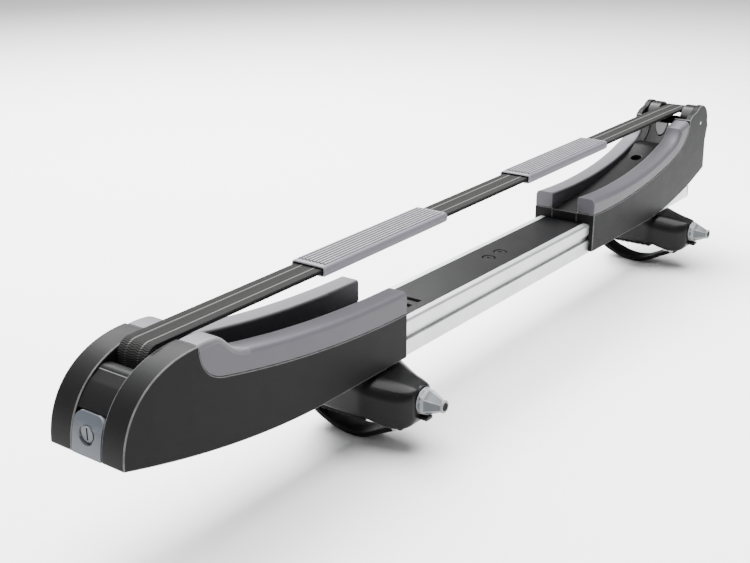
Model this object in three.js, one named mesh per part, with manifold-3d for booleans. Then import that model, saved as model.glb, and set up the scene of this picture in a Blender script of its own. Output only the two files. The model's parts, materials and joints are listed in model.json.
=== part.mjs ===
// A telescoping carrier that straps a board to one roof load bar.
// Millimetres. +X runs along the rail from the locking nose, +Y across it, +Z up.
// Inside the model x = 0 is the tip of the nose and z = 0 is the underside of the rail.
import * as THREE from "three";
import { mergeVertices } from "three/addons/utils/BufferGeometryUtils.js";
import Module from "manifold-3d";

// Driving dimensions
const WEBBING = 25; // width of the strap
const WEBBING_PLAY = 0.5; // strap to the channel wall, each side
const CRADLE_WIDTH = 64;
const NEAR_LENGTH = 283.5; // nose tip to the inner end of the near cradle
const CRADLE_GAP = 314.5; // rail left bare between the closed cradles
const RAIL_WIDTH = 54;
const RAIL_HEIGHT = 29;
const RAIL_INSET = 185; // nose tip to the start of the rail
const FOOT_X = 262; // near foot
const FOOT_SPACING = 517.5;
const FOOT_HEIGHT = 34; // rail underside to the load bar
const STRAP_THICK = 3; // two layers of webbing
const SLEEVE_LENGTH = 156;
const FIT = 0.3; // gap between pieces that touch
const WALL = 5; // cradle wall beside the rail

// Derived sizes
const CHANNEL = WEBBING / 2 + WEBBING_PLAY; // half width between the cheeks
const HALF = CRADLE_WIDTH / 2;
const FAR_X = NEAR_LENGTH + CRADLE_GAP;
const RAIL_HALF = RAIL_WIDTH / 2;
const RAIL_END = FAR_X + 252;
const POCKET_HALF = Math.max(RAIL_HALF + FIT * 2, HALF - WALL);

const wasm = await Module();
wasm.setup();

// Materials
const finish = (color, roughness, metalness = 0) =>
  new THREE.MeshStandardMaterial({ color, roughness, metalness });
const SHELL = finish(0x2f2f30, 0.45);
const PAD = finish(0x77767c, 0.75);
const LOCK_GREY = finish(0x7c828a, 0.4);
const KNOB_GREY = finish(0x99a2aa, 0.4);
const GLOSS_BLACK = finish(0x1c1c1e, 0.25);
const RUBBER = finish(0x1a1a1a, 0.85);
const ALUMINIUM = finish(0xcfd0d1, 0.35, 0.9);
const STEEL = finish(0xb4b5b7, 0.3, 1);
const FABRIC = finish(0x5f605e, 0.95);

// Solids: manifold-3d joins and cuts, three.js makes every shape
function solidOf(shape) {
  if (!shape.isBufferGeometry) return shape;
  const bare = shape.clone();
  bare.deleteAttribute("normal");
  bare.deleteAttribute("uv");
  const merged = mergeVertices(bare, 1e-4);
  return new wasm.Manifold(
    new wasm.Mesh({
      numProp: 3,
      vertProperties: merged.attributes.position.array,
      triVerts: new Uint32Array(merged.index.array),
    }),
  );
}

function geometryOf(shape) {
  if (shape.isBufferGeometry) return shape;
  const mesh = shape.getMesh();
  const geometry = new THREE.BufferGeometry();
  geometry.setAttribute("position", new THREE.BufferAttribute(mesh.vertProperties, 3));
  geometry.setIndex(new THREE.BufferAttribute(mesh.triVerts, 1));
  geometry.computeVertexNormals();
  return geometry;
}

const join = (...shapes) => shapes.map(solidOf).reduce((whole, next) => whole.add(next));
const cut = (body, ...tools) => tools.reduce((left, tool) => left.subtract(solidOf(tool)), solidOf(body));
const common = (a, b) => solidOf(a).intersect(solidOf(b));

// Extrusions along each axis
function extrusion(shape, depth, bevel, curveSegments) {
  const geometry = new THREE.ExtrudeGeometry(shape, {
    depth: depth - 2 * bevel,
    bevelEnabled: bevel > 0,
    bevelThickness: bevel,
    bevelSize: bevel,
    bevelOffset: -bevel,
    bevelSegments: 2,
    curveSegments,
  });
  return geometry.translate(0, 0, bevel);
}

// The shape is drawn in x and z.
const alongY = (shape, y0, y1, bevel = 0, curveSegments = 10) =>
  extrusion(shape, y1 - y0, bevel, curveSegments)
    .rotateX(Math.PI / 2)
    .translate(0, y1, 0);

// The shape is drawn in y and z.
const TURN_TO_X = new THREE.Matrix4().makeBasis(
  new THREE.Vector3(0, 1, 0),
  new THREE.Vector3(0, 0, 1),
  new THREE.Vector3(1, 0, 0),
);
const alongX = (shape, x0, x1, bevel = 0, curveSegments = 10) =>
  extrusion(shape, x1 - x0, bevel, curveSegments)
    .applyMatrix4(TURN_TO_X)
    .translate(x0, 0, 0);

const alongZ = (shape, z0, z1, bevel = 0, curveSegments = 10) =>
  extrusion(shape, z1 - z0, bevel, curveSegments).translate(0, 0, z0);

const box = (x0, x1, y0, y1, z0, z1) =>
  new THREE.BoxGeometry(x1 - x0, y1 - y0, z1 - z0).translate((x0 + x1) / 2, (y0 + y1) / 2, (z0 + z1) / 2);

const pinY = (radius, x, z, y0, y1, sides = 20) =>
  new THREE.CylinderGeometry(radius, radius, y1 - y0, sides).translate(x, (y0 + y1) / 2, z);

const pinX = (radius, y, z, x0, x1, sides = 20) =>
  new THREE.CylinderGeometry(radius, radius, x1 - x0, sides)
    .rotateZ(Math.PI / 2)
    .translate((x0 + x1) / 2, y, z);

const pinZ = (radius, x, y, z0, z1, sides = 20) =>
  new THREE.CylinderGeometry(radius, radius, z1 - z0, sides)
    .rotateX(Math.PI / 2)
    .translate(x, y, (z0 + z1) / 2);

function outline(points) {
  return new THREE.Shape(points.map(([a, b]) => new THREE.Vector2(a, b)));
}

function roundedBox(half, z0, z1, radius) {
  const shape = new THREE.Shape();
  shape.moveTo(-half + radius, z0);
  shape.lineTo(half - radius, z0);
  shape.absarc(half - radius, z0 + radius, radius, -Math.PI / 2, 0);
  shape.lineTo(half, z1 - radius);
  shape.absarc(half - radius, z1 - radius, radius, 0, Math.PI / 2);
  shape.lineTo(-half + radius, z1);
  shape.absarc(-half + radius, z1 - radius, radius, Math.PI / 2, Math.PI);
  shape.lineTo(-half, z0 + radius);
  shape.absarc(-half + radius, z0 + radius, radius, Math.PI, 1.5 * Math.PI);
  return shape;
}

const carrier = new THREE.Group();

function piece(name, shape, material) {
  const mesh = new THREE.Mesh(geometryOf(shape), material.clone());
  mesh.name = name;
  carrier.add(mesh);
}

// The two sides: right is -Y, where the knobs are, and left is +Y.
const SIDES = [
  ["right", -1],
  ["left", 1],
];
const sideways = (side, inner, outer) => (side > 0 ? [inner, outer] : [-outer, -inner]);

// ---------------------------------------------------------------- nose mechanism
const ROLLER_R = 7;
const ROLLER_X = 52;
const ROLLER_Z = 77.5;
const LEVER_PIN_X = 31.5;
const LEVER_PIN_Z = 71;
const PIN_R = 2;
const HINGE_PLAY = 0.35; // bore radius over pin radius
const PIN_DEPTH = 8; // how far a cross pin reaches into each cheek
const STRAP_X = ROLLER_X - ROLLER_R - FIT - STRAP_THICK / 2; // upright run of the strap
const PLATE_TOP = 56;
const NOSE_BOTTOM = 30;
const LOCK_Z = 44;
const BARREL_R = 5;

const NOSE = new THREE.CubicBezierCurve(
  new THREE.Vector2(2.5, NOSE_BOTTOM),
  new THREE.Vector2(2.5, 62),
  new THREE.Vector2(25, 86),
  new THREE.Vector2(70, 86),
);

// Points of the nose curve between two parameters, moved inwards.
function noseInset(from, to, inset, steps) {
  const points = [];
  for (let i = 0; i <= steps; i++) {
    const t = from + ((to - from) * i) / steps;
    const p = NOSE.getPoint(t);
    const along = NOSE.getTangent(t);
    points.push([p.x + along.y * inset, p.y - along.x * inset]);
  }
  return points;
}

// ---------------------------------------------------------------- near cradle
const PAD_INSET = 0.5; // pad side face inside the shell's

function nearCheekShape() {
  const shape = new THREE.Shape();
  shape.moveTo(2.5, NOSE_BOTTOM);
  shape.bezierCurveTo(2.5, 62, 25, 86, 66.5, 86);
  shape.bezierCurveTo(66.5, 68, 76, 60.5, 91.5, 58);
  shape.bezierCurveTo(150, 45.5, 215, 37.7, NEAR_LENGTH, 37.7);
  shape.lineTo(NEAR_LENGTH, 2);
  shape.lineTo(180, 2);
  shape.quadraticCurveTo(95, 4, 2.5, NOSE_BOTTOM);
  return shape;
}

function nearPadShape() {
  const shape = new THREE.Shape();
  shape.moveTo(66.5 + FIT, 86);
  shape.bezierCurveTo(66.5 + FIT, 68 + FIT, 76, 60.5 + FIT, 91.5, 58 + FIT);
  shape.bezierCurveTo(150, 45.5 + FIT, 215, 37.7 + FIT, NEAR_LENGTH, 37.7 + FIT);
  shape.lineTo(NEAR_LENGTH, 55);
  shape.bezierCurveTo(205, 55, 150, 62.5, 112, 69);
  shape.bezierCurveTo(93, 72, 94, 82, 84, 85.5);
  shape.quadraticCurveTo(75, 87, 66.5 + FIT, 86);
  return shape;
}

const railPocket = (x0, x1) =>
  box(x0, x1, -POCKET_HALF, POCKET_HALF, -40, RAIL_HEIGHT + FIT * 2);

function nearCheek(name, side) {
  const [y0, y1] = sideways(side, CHANNEL, HALF);
  const shell = alongY(nearCheekShape(), y0, y1, 0.8, 16);
  const [p0, p1] = sideways(side, CHANNEL - 1, CHANNEL + PIN_DEPTH + FIT);
  const bore = (x, z) => pinY(PIN_R + FIT / 2, x, z, p0, p1);
  const pocket = railPocket(RAIL_INSET - 2, NEAR_LENGTH + 1);
  piece(name, cut(shell, pocket, bore(ROLLER_X, ROLLER_Z), bore(LEVER_PIN_X, LEVER_PIN_Z)), SHELL);
}

// Floor of the channel: it carries the strap anvil and is screwed down on the rail.
const FLOOR_HALF = CHANNEL - FIT;
const FLOOR_Z = RAIL_HEIGHT + FIT * 2;
const RAIL_SCREWS = [225, 265];
const SCREW_R = 2.5;
const SCREW_HEAD_R = 4.8;
const SCREW_SINK_R = 5.5;
const SCREW_SINK_Z = FLOOR_Z + 3;
const TAIL_X = 58;
const TAIL_Z = 40;
const TAIL_R = 11;

function nearChassisShape() {
  const shape = new THREE.Shape();
  shape.moveTo(26, 26);
  shape.lineTo(RAIL_INSET - 2, 7);
  shape.lineTo(RAIL_INSET - 2, FLOOR_Z);
  shape.lineTo(NEAR_LENGTH, FLOOR_Z);
  shape.lineTo(NEAR_LENGTH, FLOOR_Z + 5);
  shape.lineTo(150, 44);
  shape.quadraticCurveTo(100, 50, 78, 74);
  shape.lineTo(62, 74);
  shape.quadraticCurveTo(60, 66, STRAP_X + STRAP_THICK / 2 + 1, 66);
  shape.lineTo(STRAP_X + STRAP_THICK / 2 + 1, 56);
  shape.lineTo(72, 56);
  shape.lineTo(72, 26);
  shape.lineTo(26, 26);
  return shape;
}

function nearChassis() {
  const block = alongY(nearChassisShape(), -FLOOR_HALF, FLOOR_HALF, 0, 8);
  const holes = RAIL_SCREWS.map((x) => pinZ(SCREW_R + FIT, x, 0, 0, 60));
  const sinks = RAIL_SCREWS.map((x) => pinZ(SCREW_SINK_R, x, 0, SCREW_SINK_Z, 60));
  piece("near_chassis", cut(block, ...holes, ...sinks), SHELL);
}

function railScrews() {
  RAIL_SCREWS.forEach((x, i) => {
    const head = pinZ(SCREW_HEAD_R, x, 0, SCREW_SINK_Z + FIT, FLOOR_Z + 5.5);
    const socket = pinZ(2.2, x, 0, FLOOR_Z + 4, FLOOR_Z + 7, 6);
    const shank = pinZ(SCREW_R, x, 0, 23, FLOOR_Z + 4);
    piece("near_rail_screw_" + (i + 1), cut(join(head, shank), socket), STEEL);
  });
}

// ---------------------------------------------------------------- cam lever and lock
// Parameters along the nose curve
const COVER_TOP = 0.515; // the lever's free top edge
const LOCK_TOP = 0.31; // top of the seat under the lock plate
const CAM_REACH = STRAP_X - STRAP_THICK / 2 - FIT - LEVER_PIN_X;
const LEVER_HALF = CHANNEL - 0.6;
const HUB_R = 5.2; // the lever round its pin
const LOBE_LEAN = 0.25; // radians the cam's nose points below level
const TOOTH = 0.5;
const BARREL_FACE = 4.4;
const BARREL_BACK = 16;
const SQUARE = 2.5; // half width of the barrel's square end

function camLeverShape() {
  const cover = noseInset(COVER_TOP, LOCK_TOP, 0.8, 10);
  const seat = noseInset(LOCK_TOP, 0.02, 3.4, 6);
  const back = noseInset(0.02, 0.36, 8, 6);
  const hinge = [
    [LEVER_PIN_X - 1, LEVER_PIN_Z - 4],
    [LEVER_PIN_X - 1, LEVER_PIN_Z + 5],
  ];
  return outline([...cover, ...seat, ...back, ...hinge]);
}

function camLobe() {
  const shape = new THREE.Shape();
  const steps = 24;
  for (let i = 0; i < steps; i++) {
    const turn = (i / steps) * 2 * Math.PI;
    const near = Math.max(0, Math.cos(turn + LOBE_LEAN)) ** 2;
    const tooth = i % 2 ? 0 : TOOTH;
    const radius = HUB_R + (CAM_REACH - HUB_R - tooth) * near;
    const x = LEVER_PIN_X + radius * Math.cos(turn);
    const z = LEVER_PIN_Z + radius * Math.sin(turn);
    if (i === 0) shape.moveTo(x, z);
    else shape.lineTo(x, z);
  }
  return alongY(shape, -LEVER_HALF, LEVER_HALF);
}

function crossPin(name, x, z) {
  piece(name, pinY(PIN_R, x, z, -CHANNEL - PIN_DEPTH, CHANNEL + PIN_DEPTH), STEEL);
}

function camLever() {
  const cover = alongY(camLeverShape(), -LEVER_HALF, LEVER_HALF);
  const pinHole = pinY(PIN_R + HINGE_PLAY, LEVER_PIN_X, LEVER_PIN_Z, -HALF, HALF);
  const barrelHole = pinX(BARREL_R + 1, 0, LOCK_Z, -5, 30);
  piece("cam_lever", cut(join(cover, camLobe()), pinHole, barrelHole), SHELL);
  crossPin("cam_lever_pin", LEVER_PIN_X, LEVER_PIN_Z);
}

function lockPlate() {
  const front = noseInset(0, LOCK_TOP - 0.005, 0, 8);
  const back = noseInset(LOCK_TOP - 0.005, 0, 3.1, 8);
  const slab = alongY(outline([...front.reverse(), ...back.reverse()]), -LEVER_HALF, LEVER_HALF);
  const face = alongX(roundedBox(LEVER_HALF, NOSE_BOTTOM - 10, PLATE_TOP, 6), -5, 30);
  const recess = pinX(BARREL_R + 1.7, 0, LOCK_Z, -5, BARREL_FACE + 0.7, 28);
  const hole = pinX(BARREL_R + FIT, 0, LOCK_Z, -5, 30, 24);
  piece("lock_plate", cut(common(slab, face), recess, hole), LOCK_GREY);
}

const squareBar = (x0, x1, half) => box(x0, x1, -half, half, LOCK_Z - half, LOCK_Z + half);

function lockBarrel() {
  const barrel = pinX(BARREL_R, 0, LOCK_Z, BARREL_FACE, BARREL_BACK, 24);
  const keySlot = box(0, 10, -0.7, 0.7, LOCK_Z - 4.2, LOCK_Z + 4.2);
  const spigot = squareBar(BARREL_BACK - 0.1, BARREL_BACK + 3, SQUARE);
  piece("lock_barrel", cut(join(barrel, spigot), keySlot), STEEL);
  const arm = join(
    pinX(BARREL_R + 1, 0, LOCK_Z, BARREL_BACK + FIT, BARREL_BACK + 2.4, 20),
    box(BARREL_BACK + FIT, BARREL_BACK + 2.4, -3.2, 3.2, LOCK_Z - 12, LOCK_Z),
  );
  const square = squareBar(BARREL_BACK - 1, BARREL_BACK + 4, SQUARE + FIT / 2);
  piece("lock_tongue", cut(arm, square), STEEL);
}

// ---------------------------------------------------------------- strap, roller and sleeves
const YOKE_X = FAR_X + 260.4;
const YOKE_Z = 84;
const BAR_X = YOKE_X + 8.6;
const BAR_Z = 95.7;
const BAR_R = 2.5;
const LOOP_R = BAR_R + FIT + STRAP_THICK / 2;
const SPLICE_X = YOKE_X - 38; // where the sewn end loop begins
const TOP_X = ROLLER_X;
const TOP_Z = ROLLER_Z + ROLLER_R + FIT + STRAP_THICK / 2;
const STRAP_END_Z = BAR_Z + LOOP_R - STRAP_THICK / 2;
const strapZ = (x) => TOP_Z + ((x - TOP_X) * (STRAP_END_Z - TOP_Z)) / (BAR_X - TOP_X);

function strapShape() {
  const shape = new THREE.Shape();
  const inner = ROLLER_R + FIT;
  const outer = inner + STRAP_THICK;
  const half = STRAP_THICK / 2;
  shape.moveTo(ROLLER_X - inner, TAIL_Z + 4);
  shape.lineTo(ROLLER_X - inner, ROLLER_Z);
  shape.absarc(ROLLER_X, ROLLER_Z, inner, Math.PI, Math.PI / 2, true);
  shape.lineTo(SPLICE_X, strapZ(SPLICE_X) - half);
  shape.lineTo(SPLICE_X, strapZ(SPLICE_X) + half);
  shape.lineTo(ROLLER_X, ROLLER_Z + outer);
  shape.absarc(ROLLER_X, ROLLER_Z, outer, Math.PI / 2, Math.PI);
  shape.lineTo(ROLLER_X - outer, TAIL_Z + 4);
  return shape;
}

function strap() {
  const half = WEBBING / 2;
  piece("strap", alongY(strapShape(), -half, half), FABRIC);
  const x0 = SPLICE_X + FIT;
  const top = STRAP_THICK / 2;
  const tongue = outline([
    [x0, strapZ(x0) - top],
    [BAR_X, strapZ(BAR_X) - top],
    [BAR_X, strapZ(BAR_X) + top],
    [x0, strapZ(x0) + top],
  ]);
  const loop = join(alongY(tongue, -half, half), pinY(LOOP_R, BAR_X, BAR_Z, -half, half, 24));
  piece("strap_end_loop", cut(loop, pinY(BAR_R + FIT, BAR_X, BAR_Z, -HALF, HALF, 24)), FABRIC);
  const roll = pinY(TAIL_R, TAIL_X, TAIL_Z, -half, half, 28);
  piece("strap_tail_roll", cut(roll, pinY(2.5, TAIL_X, TAIL_Z, -HALF, HALF, 12)), FABRIC);
}

function guideRoller() {
  const half = CHANNEL - 0.4;
  const roller = pinY(ROLLER_R, ROLLER_X, ROLLER_Z, -half, half, 28);
  piece("guide_roller", cut(roller, pinY(PIN_R + HINGE_PLAY, ROLLER_X, ROLLER_Z, -HALF, HALF)), GLOSS_BLACK);
  crossPin("guide_roller_pin", ROLLER_X, ROLLER_Z);
}

const SLEEVE_WALL = 1.9;
const NEAR_SLEEVE_X = 207;
const FAR_SLEEVE_X = 497;

function sleeve(name, x0) {
  const middle = x0 + SLEEVE_LENGTH / 2;
  const half = WEBBING / 2 + 1;
  const thick = STRAP_THICK / 2 + 0.6;
  const section = roundedBox(half + SLEEVE_WALL, -thick - SLEEVE_WALL, thick + SLEEVE_WALL, 3.2);
  const outer = alongX(section, 0, SLEEVE_LENGTH, 0, 4);
  const inner = alongX(roundedBox(half, -thick, thick, 0.8), -1, SLEEVE_LENGTH + 1, 0, 2);
  const tube = geometryOf(cut(outer, inner));
  const slope = Math.atan2(strapZ(middle + 1) - strapZ(middle), 1);
  tube.translate(-SLEEVE_LENGTH / 2, 0, 0).rotateY(-slope).translate(middle, 0, strapZ(middle));
  piece(name, tube, PAD);
}

// ---------------------------------------------------------------- rail
const STRIP_HALF = 20;
const STRIP_THICK = 2.7;
const STRIP_SCREWS = [456, 476];
const STRIP_SINK_R = 6.2;
const STRIP_HEAD_R = 5.2;
const SLOT_FIRST = 330;
const SLOT_PITCH = 13;
const SLOT_COUNT = 2;
const SLOT_HALF_LENGTH = 3;
const SLOT_HALF_WIDTH = 12;
const RAIL_CHAMFER = 1.6;
const GROOVE_LOW = 12.6;
const GROOVE_HIGH = 18.6;
const GROOVE_DEPTH = 3;
const TRACK_MOUTH = 5.5;
const TRACK_HALF = 10;
const TRACK_LIP = 2.5;
const TRACK_TOP = 9;
const RAIL_WALL = 2.2;
const CHAMBER_HALF = RAIL_HALF - GROOVE_DEPTH - RAIL_WALL;
const CHAMBER_LOW = TRACK_TOP + RAIL_WALL;
const CHAMBER_HIGH = RAIL_HEIGHT - STRIP_THICK - FIT - RAIL_WALL;

function railShape() {
  const side = [
    [RAIL_HALF, 0],
    [RAIL_HALF, GROOVE_LOW],
    [RAIL_HALF - GROOVE_DEPTH, GROOVE_LOW],
    [RAIL_HALF - GROOVE_DEPTH, GROOVE_HIGH],
    [RAIL_HALF, GROOVE_HIGH],
    [RAIL_HALF, RAIL_HEIGHT - RAIL_CHAMFER],
    [RAIL_HALF - RAIL_CHAMFER, RAIL_HEIGHT],
    [STRIP_HALF + FIT, RAIL_HEIGHT],
    [STRIP_HALF + FIT, RAIL_HEIGHT - STRIP_THICK - FIT],
  ];
  const mirrored = side.map(([y, z]) => [-y, z]).reverse();
  const track = [
    [-TRACK_MOUTH, 0],
    [-TRACK_MOUTH, TRACK_LIP],
    [-TRACK_HALF, TRACK_LIP],
    [-TRACK_HALF, TRACK_TOP],
    [TRACK_HALF, TRACK_TOP],
    [TRACK_HALF, TRACK_LIP],
    [TRACK_MOUTH, TRACK_LIP],
    [TRACK_MOUTH, 0],
  ];
  const shape = outline([...side, ...mirrored, ...track]);
  const chamber = [
    [-CHAMBER_HALF, CHAMBER_LOW],
    [-CHAMBER_HALF, CHAMBER_HIGH],
    [CHAMBER_HALF, CHAMBER_HIGH],
    [CHAMBER_HALF, CHAMBER_LOW],
  ];
  shape.holes.push(new THREE.Path(chamber.map(([y, z]) => new THREE.Vector2(y, z))));
  return shape;
}

function rail() {
  const body = alongX(railShape(), RAIL_INSET, RAIL_END, 0, 4);
  const bores = [...RAIL_SCREWS, ...STRIP_SCREWS].map((x) => pinZ(SCREW_R + FIT, x, 0, 15, 40));
  piece("base_rail", cut(body, ...bores), ALUMINIUM);
}

function coverStrip() {
  const z0 = RAIL_HEIGHT - STRIP_THICK;
  const sheet = box(RAIL_INSET, RAIL_END, -STRIP_HALF, STRIP_HALF, z0, RAIL_HEIGHT);
  const slots = [];
  for (let i = 0; i < SLOT_COUNT; i++) {
    const x = SLOT_FIRST - SLOT_PITCH * i;
    const [x0, x1] = [x - SLOT_HALF_LENGTH, x + SLOT_HALF_LENGTH];
    slots.push(box(x0, x1, -SLOT_HALF_WIDTH, SLOT_HALF_WIDTH, z0 - 1, RAIL_HEIGHT + 1));
  }
  const clearances = RAIL_SCREWS.map((x) => pinZ(SCREW_R + FIT, x, 0, z0 - 1, RAIL_HEIGHT + 1));
  const recesses = STRIP_SCREWS.map((x) => pinZ(STRIP_SINK_R, x, 0, z0 + 1, RAIL_HEIGHT + 1, 24));
  const holes = STRIP_SCREWS.map((x) => pinZ(SCREW_R + FIT, x, 0, z0 - 1, RAIL_HEIGHT + 1));
  piece("rail_cover_strip", cut(sheet, ...slots, ...clearances, ...recesses, ...holes), GLOSS_BLACK);
  STRIP_SCREWS.forEach((x, i) => {
    const head = pinZ(STRIP_HEAD_R, x, 0, z0 + 1 + FIT, RAIL_HEIGHT - FIT);
    const shank = pinZ(SCREW_R, x, 0, 18, z0 + 1.5);
    const socket = pinZ(2, x, 0, RAIL_HEIGHT - 1, RAIL_HEIGHT + 1, 6);
    piece("strip_screw_" + (i + 1), cut(join(head, shank), socket), GLOSS_BLACK);
  });
}

const CAP_BACK = RAIL_END + 2.3;

function railEndCap() {
  const plate = alongX(roundedBox(RAIL_HALF, 0, RAIL_HEIGHT, 1.2), RAIL_END + FIT, CAP_BACK, 0, 3);
  const plugHalf = CHAMBER_HALF - FIT;
  const plug = box(RAIL_END - 8, RAIL_END + 1, -plugHalf, plugHalf, CHAMBER_LOW + FIT, CHAMBER_HIGH - FIT);
  const notches = SIDES.map(([, side]) => {
    const [y0, y1] = sideways(side, RAIL_HALF - GROOVE_DEPTH, RAIL_HALF + 1);
    return box(RAIL_END, RAIL_END + 4, y0, y1, GROOVE_LOW, GROOVE_HIGH);
  });
  piece("rail_end_cap", cut(join(plate, plug), ...notches), RUBBER);
}

// ---------------------------------------------------------------- far cradle
const FAR = (x) => FAR_X + x;

function farPadEdge(shape, rise) {
  shape.moveTo(FAR(0), 39 + rise);
  shape.bezierCurveTo(FAR(60), 36.5 + rise, FAR(120), 42 + rise, FAR(167), 51.5 + rise);
  shape.bezierCurveTo(FAR(200), 58.5 + rise, FAR(225) - rise, 66 + rise, FAR(228) - rise, 86);
}

function farCheekShape() {
  const shape = new THREE.Shape();
  farPadEdge(shape, 0);
  shape.lineTo(FAR(229), 92);
  shape.quadraticCurveTo(FAR(234), 97, FAR(243), 98);
  shape.absarc(YOKE_X, YOKE_Z, 19.8, 2.3, 0, true);
  shape.lineTo(FAR(282.8), 78);
  shape.lineTo(FAR(278.4), 61.3);
  shape.lineTo(FAR(280.6), 29.4);
  shape.lineTo(FAR(244), 18.4);
  shape.quadraticCurveTo(FAR(180), 3, FAR(137), 2);
  shape.lineTo(FAR(0), 2);
  return shape;
}

function farPadShape() {
  const shape = new THREE.Shape();
  farPadEdge(shape, FIT);
  shape.lineTo(FAR(228) - FIT, 91);
  shape.lineTo(FAR(206), 87);
  shape.bezierCurveTo(FAR(203), 72, FAR(185), 71, FAR(170), 66.5);
  shape.bezierCurveTo(FAR(130), 55, FAR(60), 50, FAR(0), 54.5);
  return shape;
}

// The rail and its end cap run in this pocket when the cradle is closed.
const POCKET_END = CAP_BACK + FIT * 2;
const HEAD_INNER = CHANNEL + 0.4;
const HEAD_OUTER = 25.4;
const EAR_INNER = 26.2;
const HEAD_R = 19;
const HEAD_PLAY = 1.4;

function farCheek(name, side) {
  const [y0, y1] = sideways(side, CHANNEL, HALF);
  const shell = alongY(farCheekShape(), y0, y1, 0.8, 14);
  const [h0, h1] = sideways(side, CHANNEL - 1, EAR_INNER);
  const headRoom = pinY(HEAD_R + HEAD_PLAY, YOKE_X, YOKE_Z, h0, h1, 32);
  const above = box(YOKE_X - 45, YOKE_X + 40, h0, h1, YOKE_Z + 4, 120);
  const keepPad = box(YOKE_X - 60, YOKE_X - HEAD_R - HEAD_PLAY, h0, h1, 60, 120);
  const behind = box(YOKE_X, YOKE_X + 40, h0, h1, YOKE_Z - 2, 120);
  const [p0, p1] = sideways(side, CHANNEL - 1, HALF + 1);
  const pinHole = pinY(PIN_R + FIT / 2, YOKE_X, YOKE_Z, p0, p1);
  const opening = cut(join(headRoom, above, behind), keepPad);
  piece(name, cut(shell, railPocket(FAR_X - 1, POCKET_END), opening, pinHole), SHELL);
}

const CLAMP_X = FAR(163);
const CLAMP_R = 3;
const CLAMP_HEAD_R = 5.4;
const CLAMP_SEAT = 46;
const HEX_R = 2.6; // key recess of the larger screws

function farChassisShape() {
  const shape = new THREE.Shape();
  shape.moveTo(FAR(0), FLOOR_Z + FIT);
  shape.lineTo(FAR(0), 38);
  shape.quadraticCurveTo(FAR(90), 41, FAR(163), 59);
  shape.quadraticCurveTo(FAR(178), 64, FAR(186), 69);
  shape.lineTo(FAR(202), 69);
  shape.lineTo(FAR(202), FLOOR_Z + FIT);
  return shape;
}

function farChassis() {
  const block = alongY(farChassisShape(), -FLOOR_HALF, FLOOR_HALF, 0, 10);
  const bore = pinZ(CLAMP_R + FIT, CLAMP_X, 0, 0, 100);
  const sink = pinZ(CLAMP_HEAD_R + 0.6, CLAMP_X, 0, CLAMP_SEAT, 100, 24);
  piece("far_chassis", cut(block, bore, sink), SHELL);
  const head = pinZ(CLAMP_HEAD_R, CLAMP_X, 0, CLAMP_SEAT + FIT, CLAMP_SEAT + 6, 24);
  const shank = pinZ(CLAMP_R, CLAMP_X, 0, FLOOR_Z + FIT, CLAMP_SEAT + 1);
  const socket = pinZ(HEX_R, CLAMP_X, 0, CLAMP_SEAT + 2.5, CLAMP_SEAT + 7, 6);
  piece("clamp_screw", cut(join(head, shank), socket), STEEL);
}

function slideLiner(name, side) {
  const [y0, y1] = sideways(side, RAIL_HALF - GROOVE_DEPTH + FIT, POCKET_HALF - FIT);
  piece(name, box(FAR(4), FAR(130), y0, y1, GROOVE_LOW + FIT, GROOVE_HIGH - FIT), GLOSS_BLACK);
}

function pad(name, shape, side) {
  const [y0, y1] = sideways(side, CHANNEL + PAD_INSET, HALF - PAD_INSET);
  piece(name, alongY(shape, y0, y1, 1.6, 10), PAD);
}

// Yoke that holds the strap between the ears
function strapYoke() {
  const bore = pinY(PIN_R + HINGE_PLAY, YOKE_X, YOKE_Z, -HALF, HALF);
  const heads = SIDES.map(([, side]) => {
    const [y0, y1] = sideways(side, HEAD_INNER, HEAD_OUTER);
    return pinY(HEAD_R, YOKE_X, YOKE_Z, y0, y1, 36);
  });
  const bar = pinY(BAR_R, BAR_X, BAR_Z, -HEAD_INNER - 1, HEAD_INNER + 1, 16);
  const hub = pinY(5, YOKE_X, YOKE_Z, -HEAD_INNER - 1, HEAD_INNER + 1, 20);
  piece("strap_yoke", cut(join(...heads, bar, hub), bore), GLOSS_BLACK);
  piece("yoke_pin", pinY(PIN_R, YOKE_X, YOKE_Z, -HALF + FIT, HALF - FIT), STEEL);
}

// ---------------------------------------------------------------- feet
const HOUSING_TOP = -FIT;
const HOUSING_BOTTOM = -31;
const KNOB_Z = -17;
const KNOB_BASE = -62;
const KNOB_TIP = -81;
const KNOB_R = 10.5;
const BOLT_R = 3;
const TRACK_BOLT_R = 3;
const TRACK_HEAD_R = 5.5;
const TRACK_SINK_Z = -24; // seat of the track bolt's head
const EYE_R = 4.6; // band round its pins
const BOLT_DEPTH = 6; // knob tip to the end of the tension bolt
const BOLT_END = -18;
const BAND_PIN_Y = 31;
const BAND_PIN_Z = -25;
const BAND_HALF = 10.5;
const BAND_THICK = 4;
const T_BAR_Y = -47;
const T_BAR_Z = -37.5;
const T_BAR_R = 2.4;
const PRONG_INNER = 12.3;
const PRONG_OUTER = 16.3;
const HOOK_TRAVEL = 10;
const HOOK_FRONT = T_BAR_Y + T_BAR_R + 0.9; // hook side that meets the T-bar
const HOOK_BACK = HOOK_FRONT + 6;

const HOUSING_FRONT = KNOB_BASE + 0.5;

function housingSection() {
  const shape = new THREE.Shape();
  shape.moveTo(38, -8);
  shape.quadraticCurveTo(38, HOUSING_TOP, 30, HOUSING_TOP);
  shape.lineTo(-26, HOUSING_TOP);
  shape.bezierCurveTo(-36, HOUSING_TOP, -44, -6, HOUSING_FRONT, -6.5);
  shape.lineTo(HOUSING_FRONT, -29);
  shape.quadraticCurveTo(HOUSING_FRONT, -37.5, -51, -37.5);
  shape.quadraticCurveTo(-40, -37, -34, HOUSING_BOTTOM);
  shape.lineTo(38, HOUSING_BOTTOM);
  return shape;
}

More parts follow.
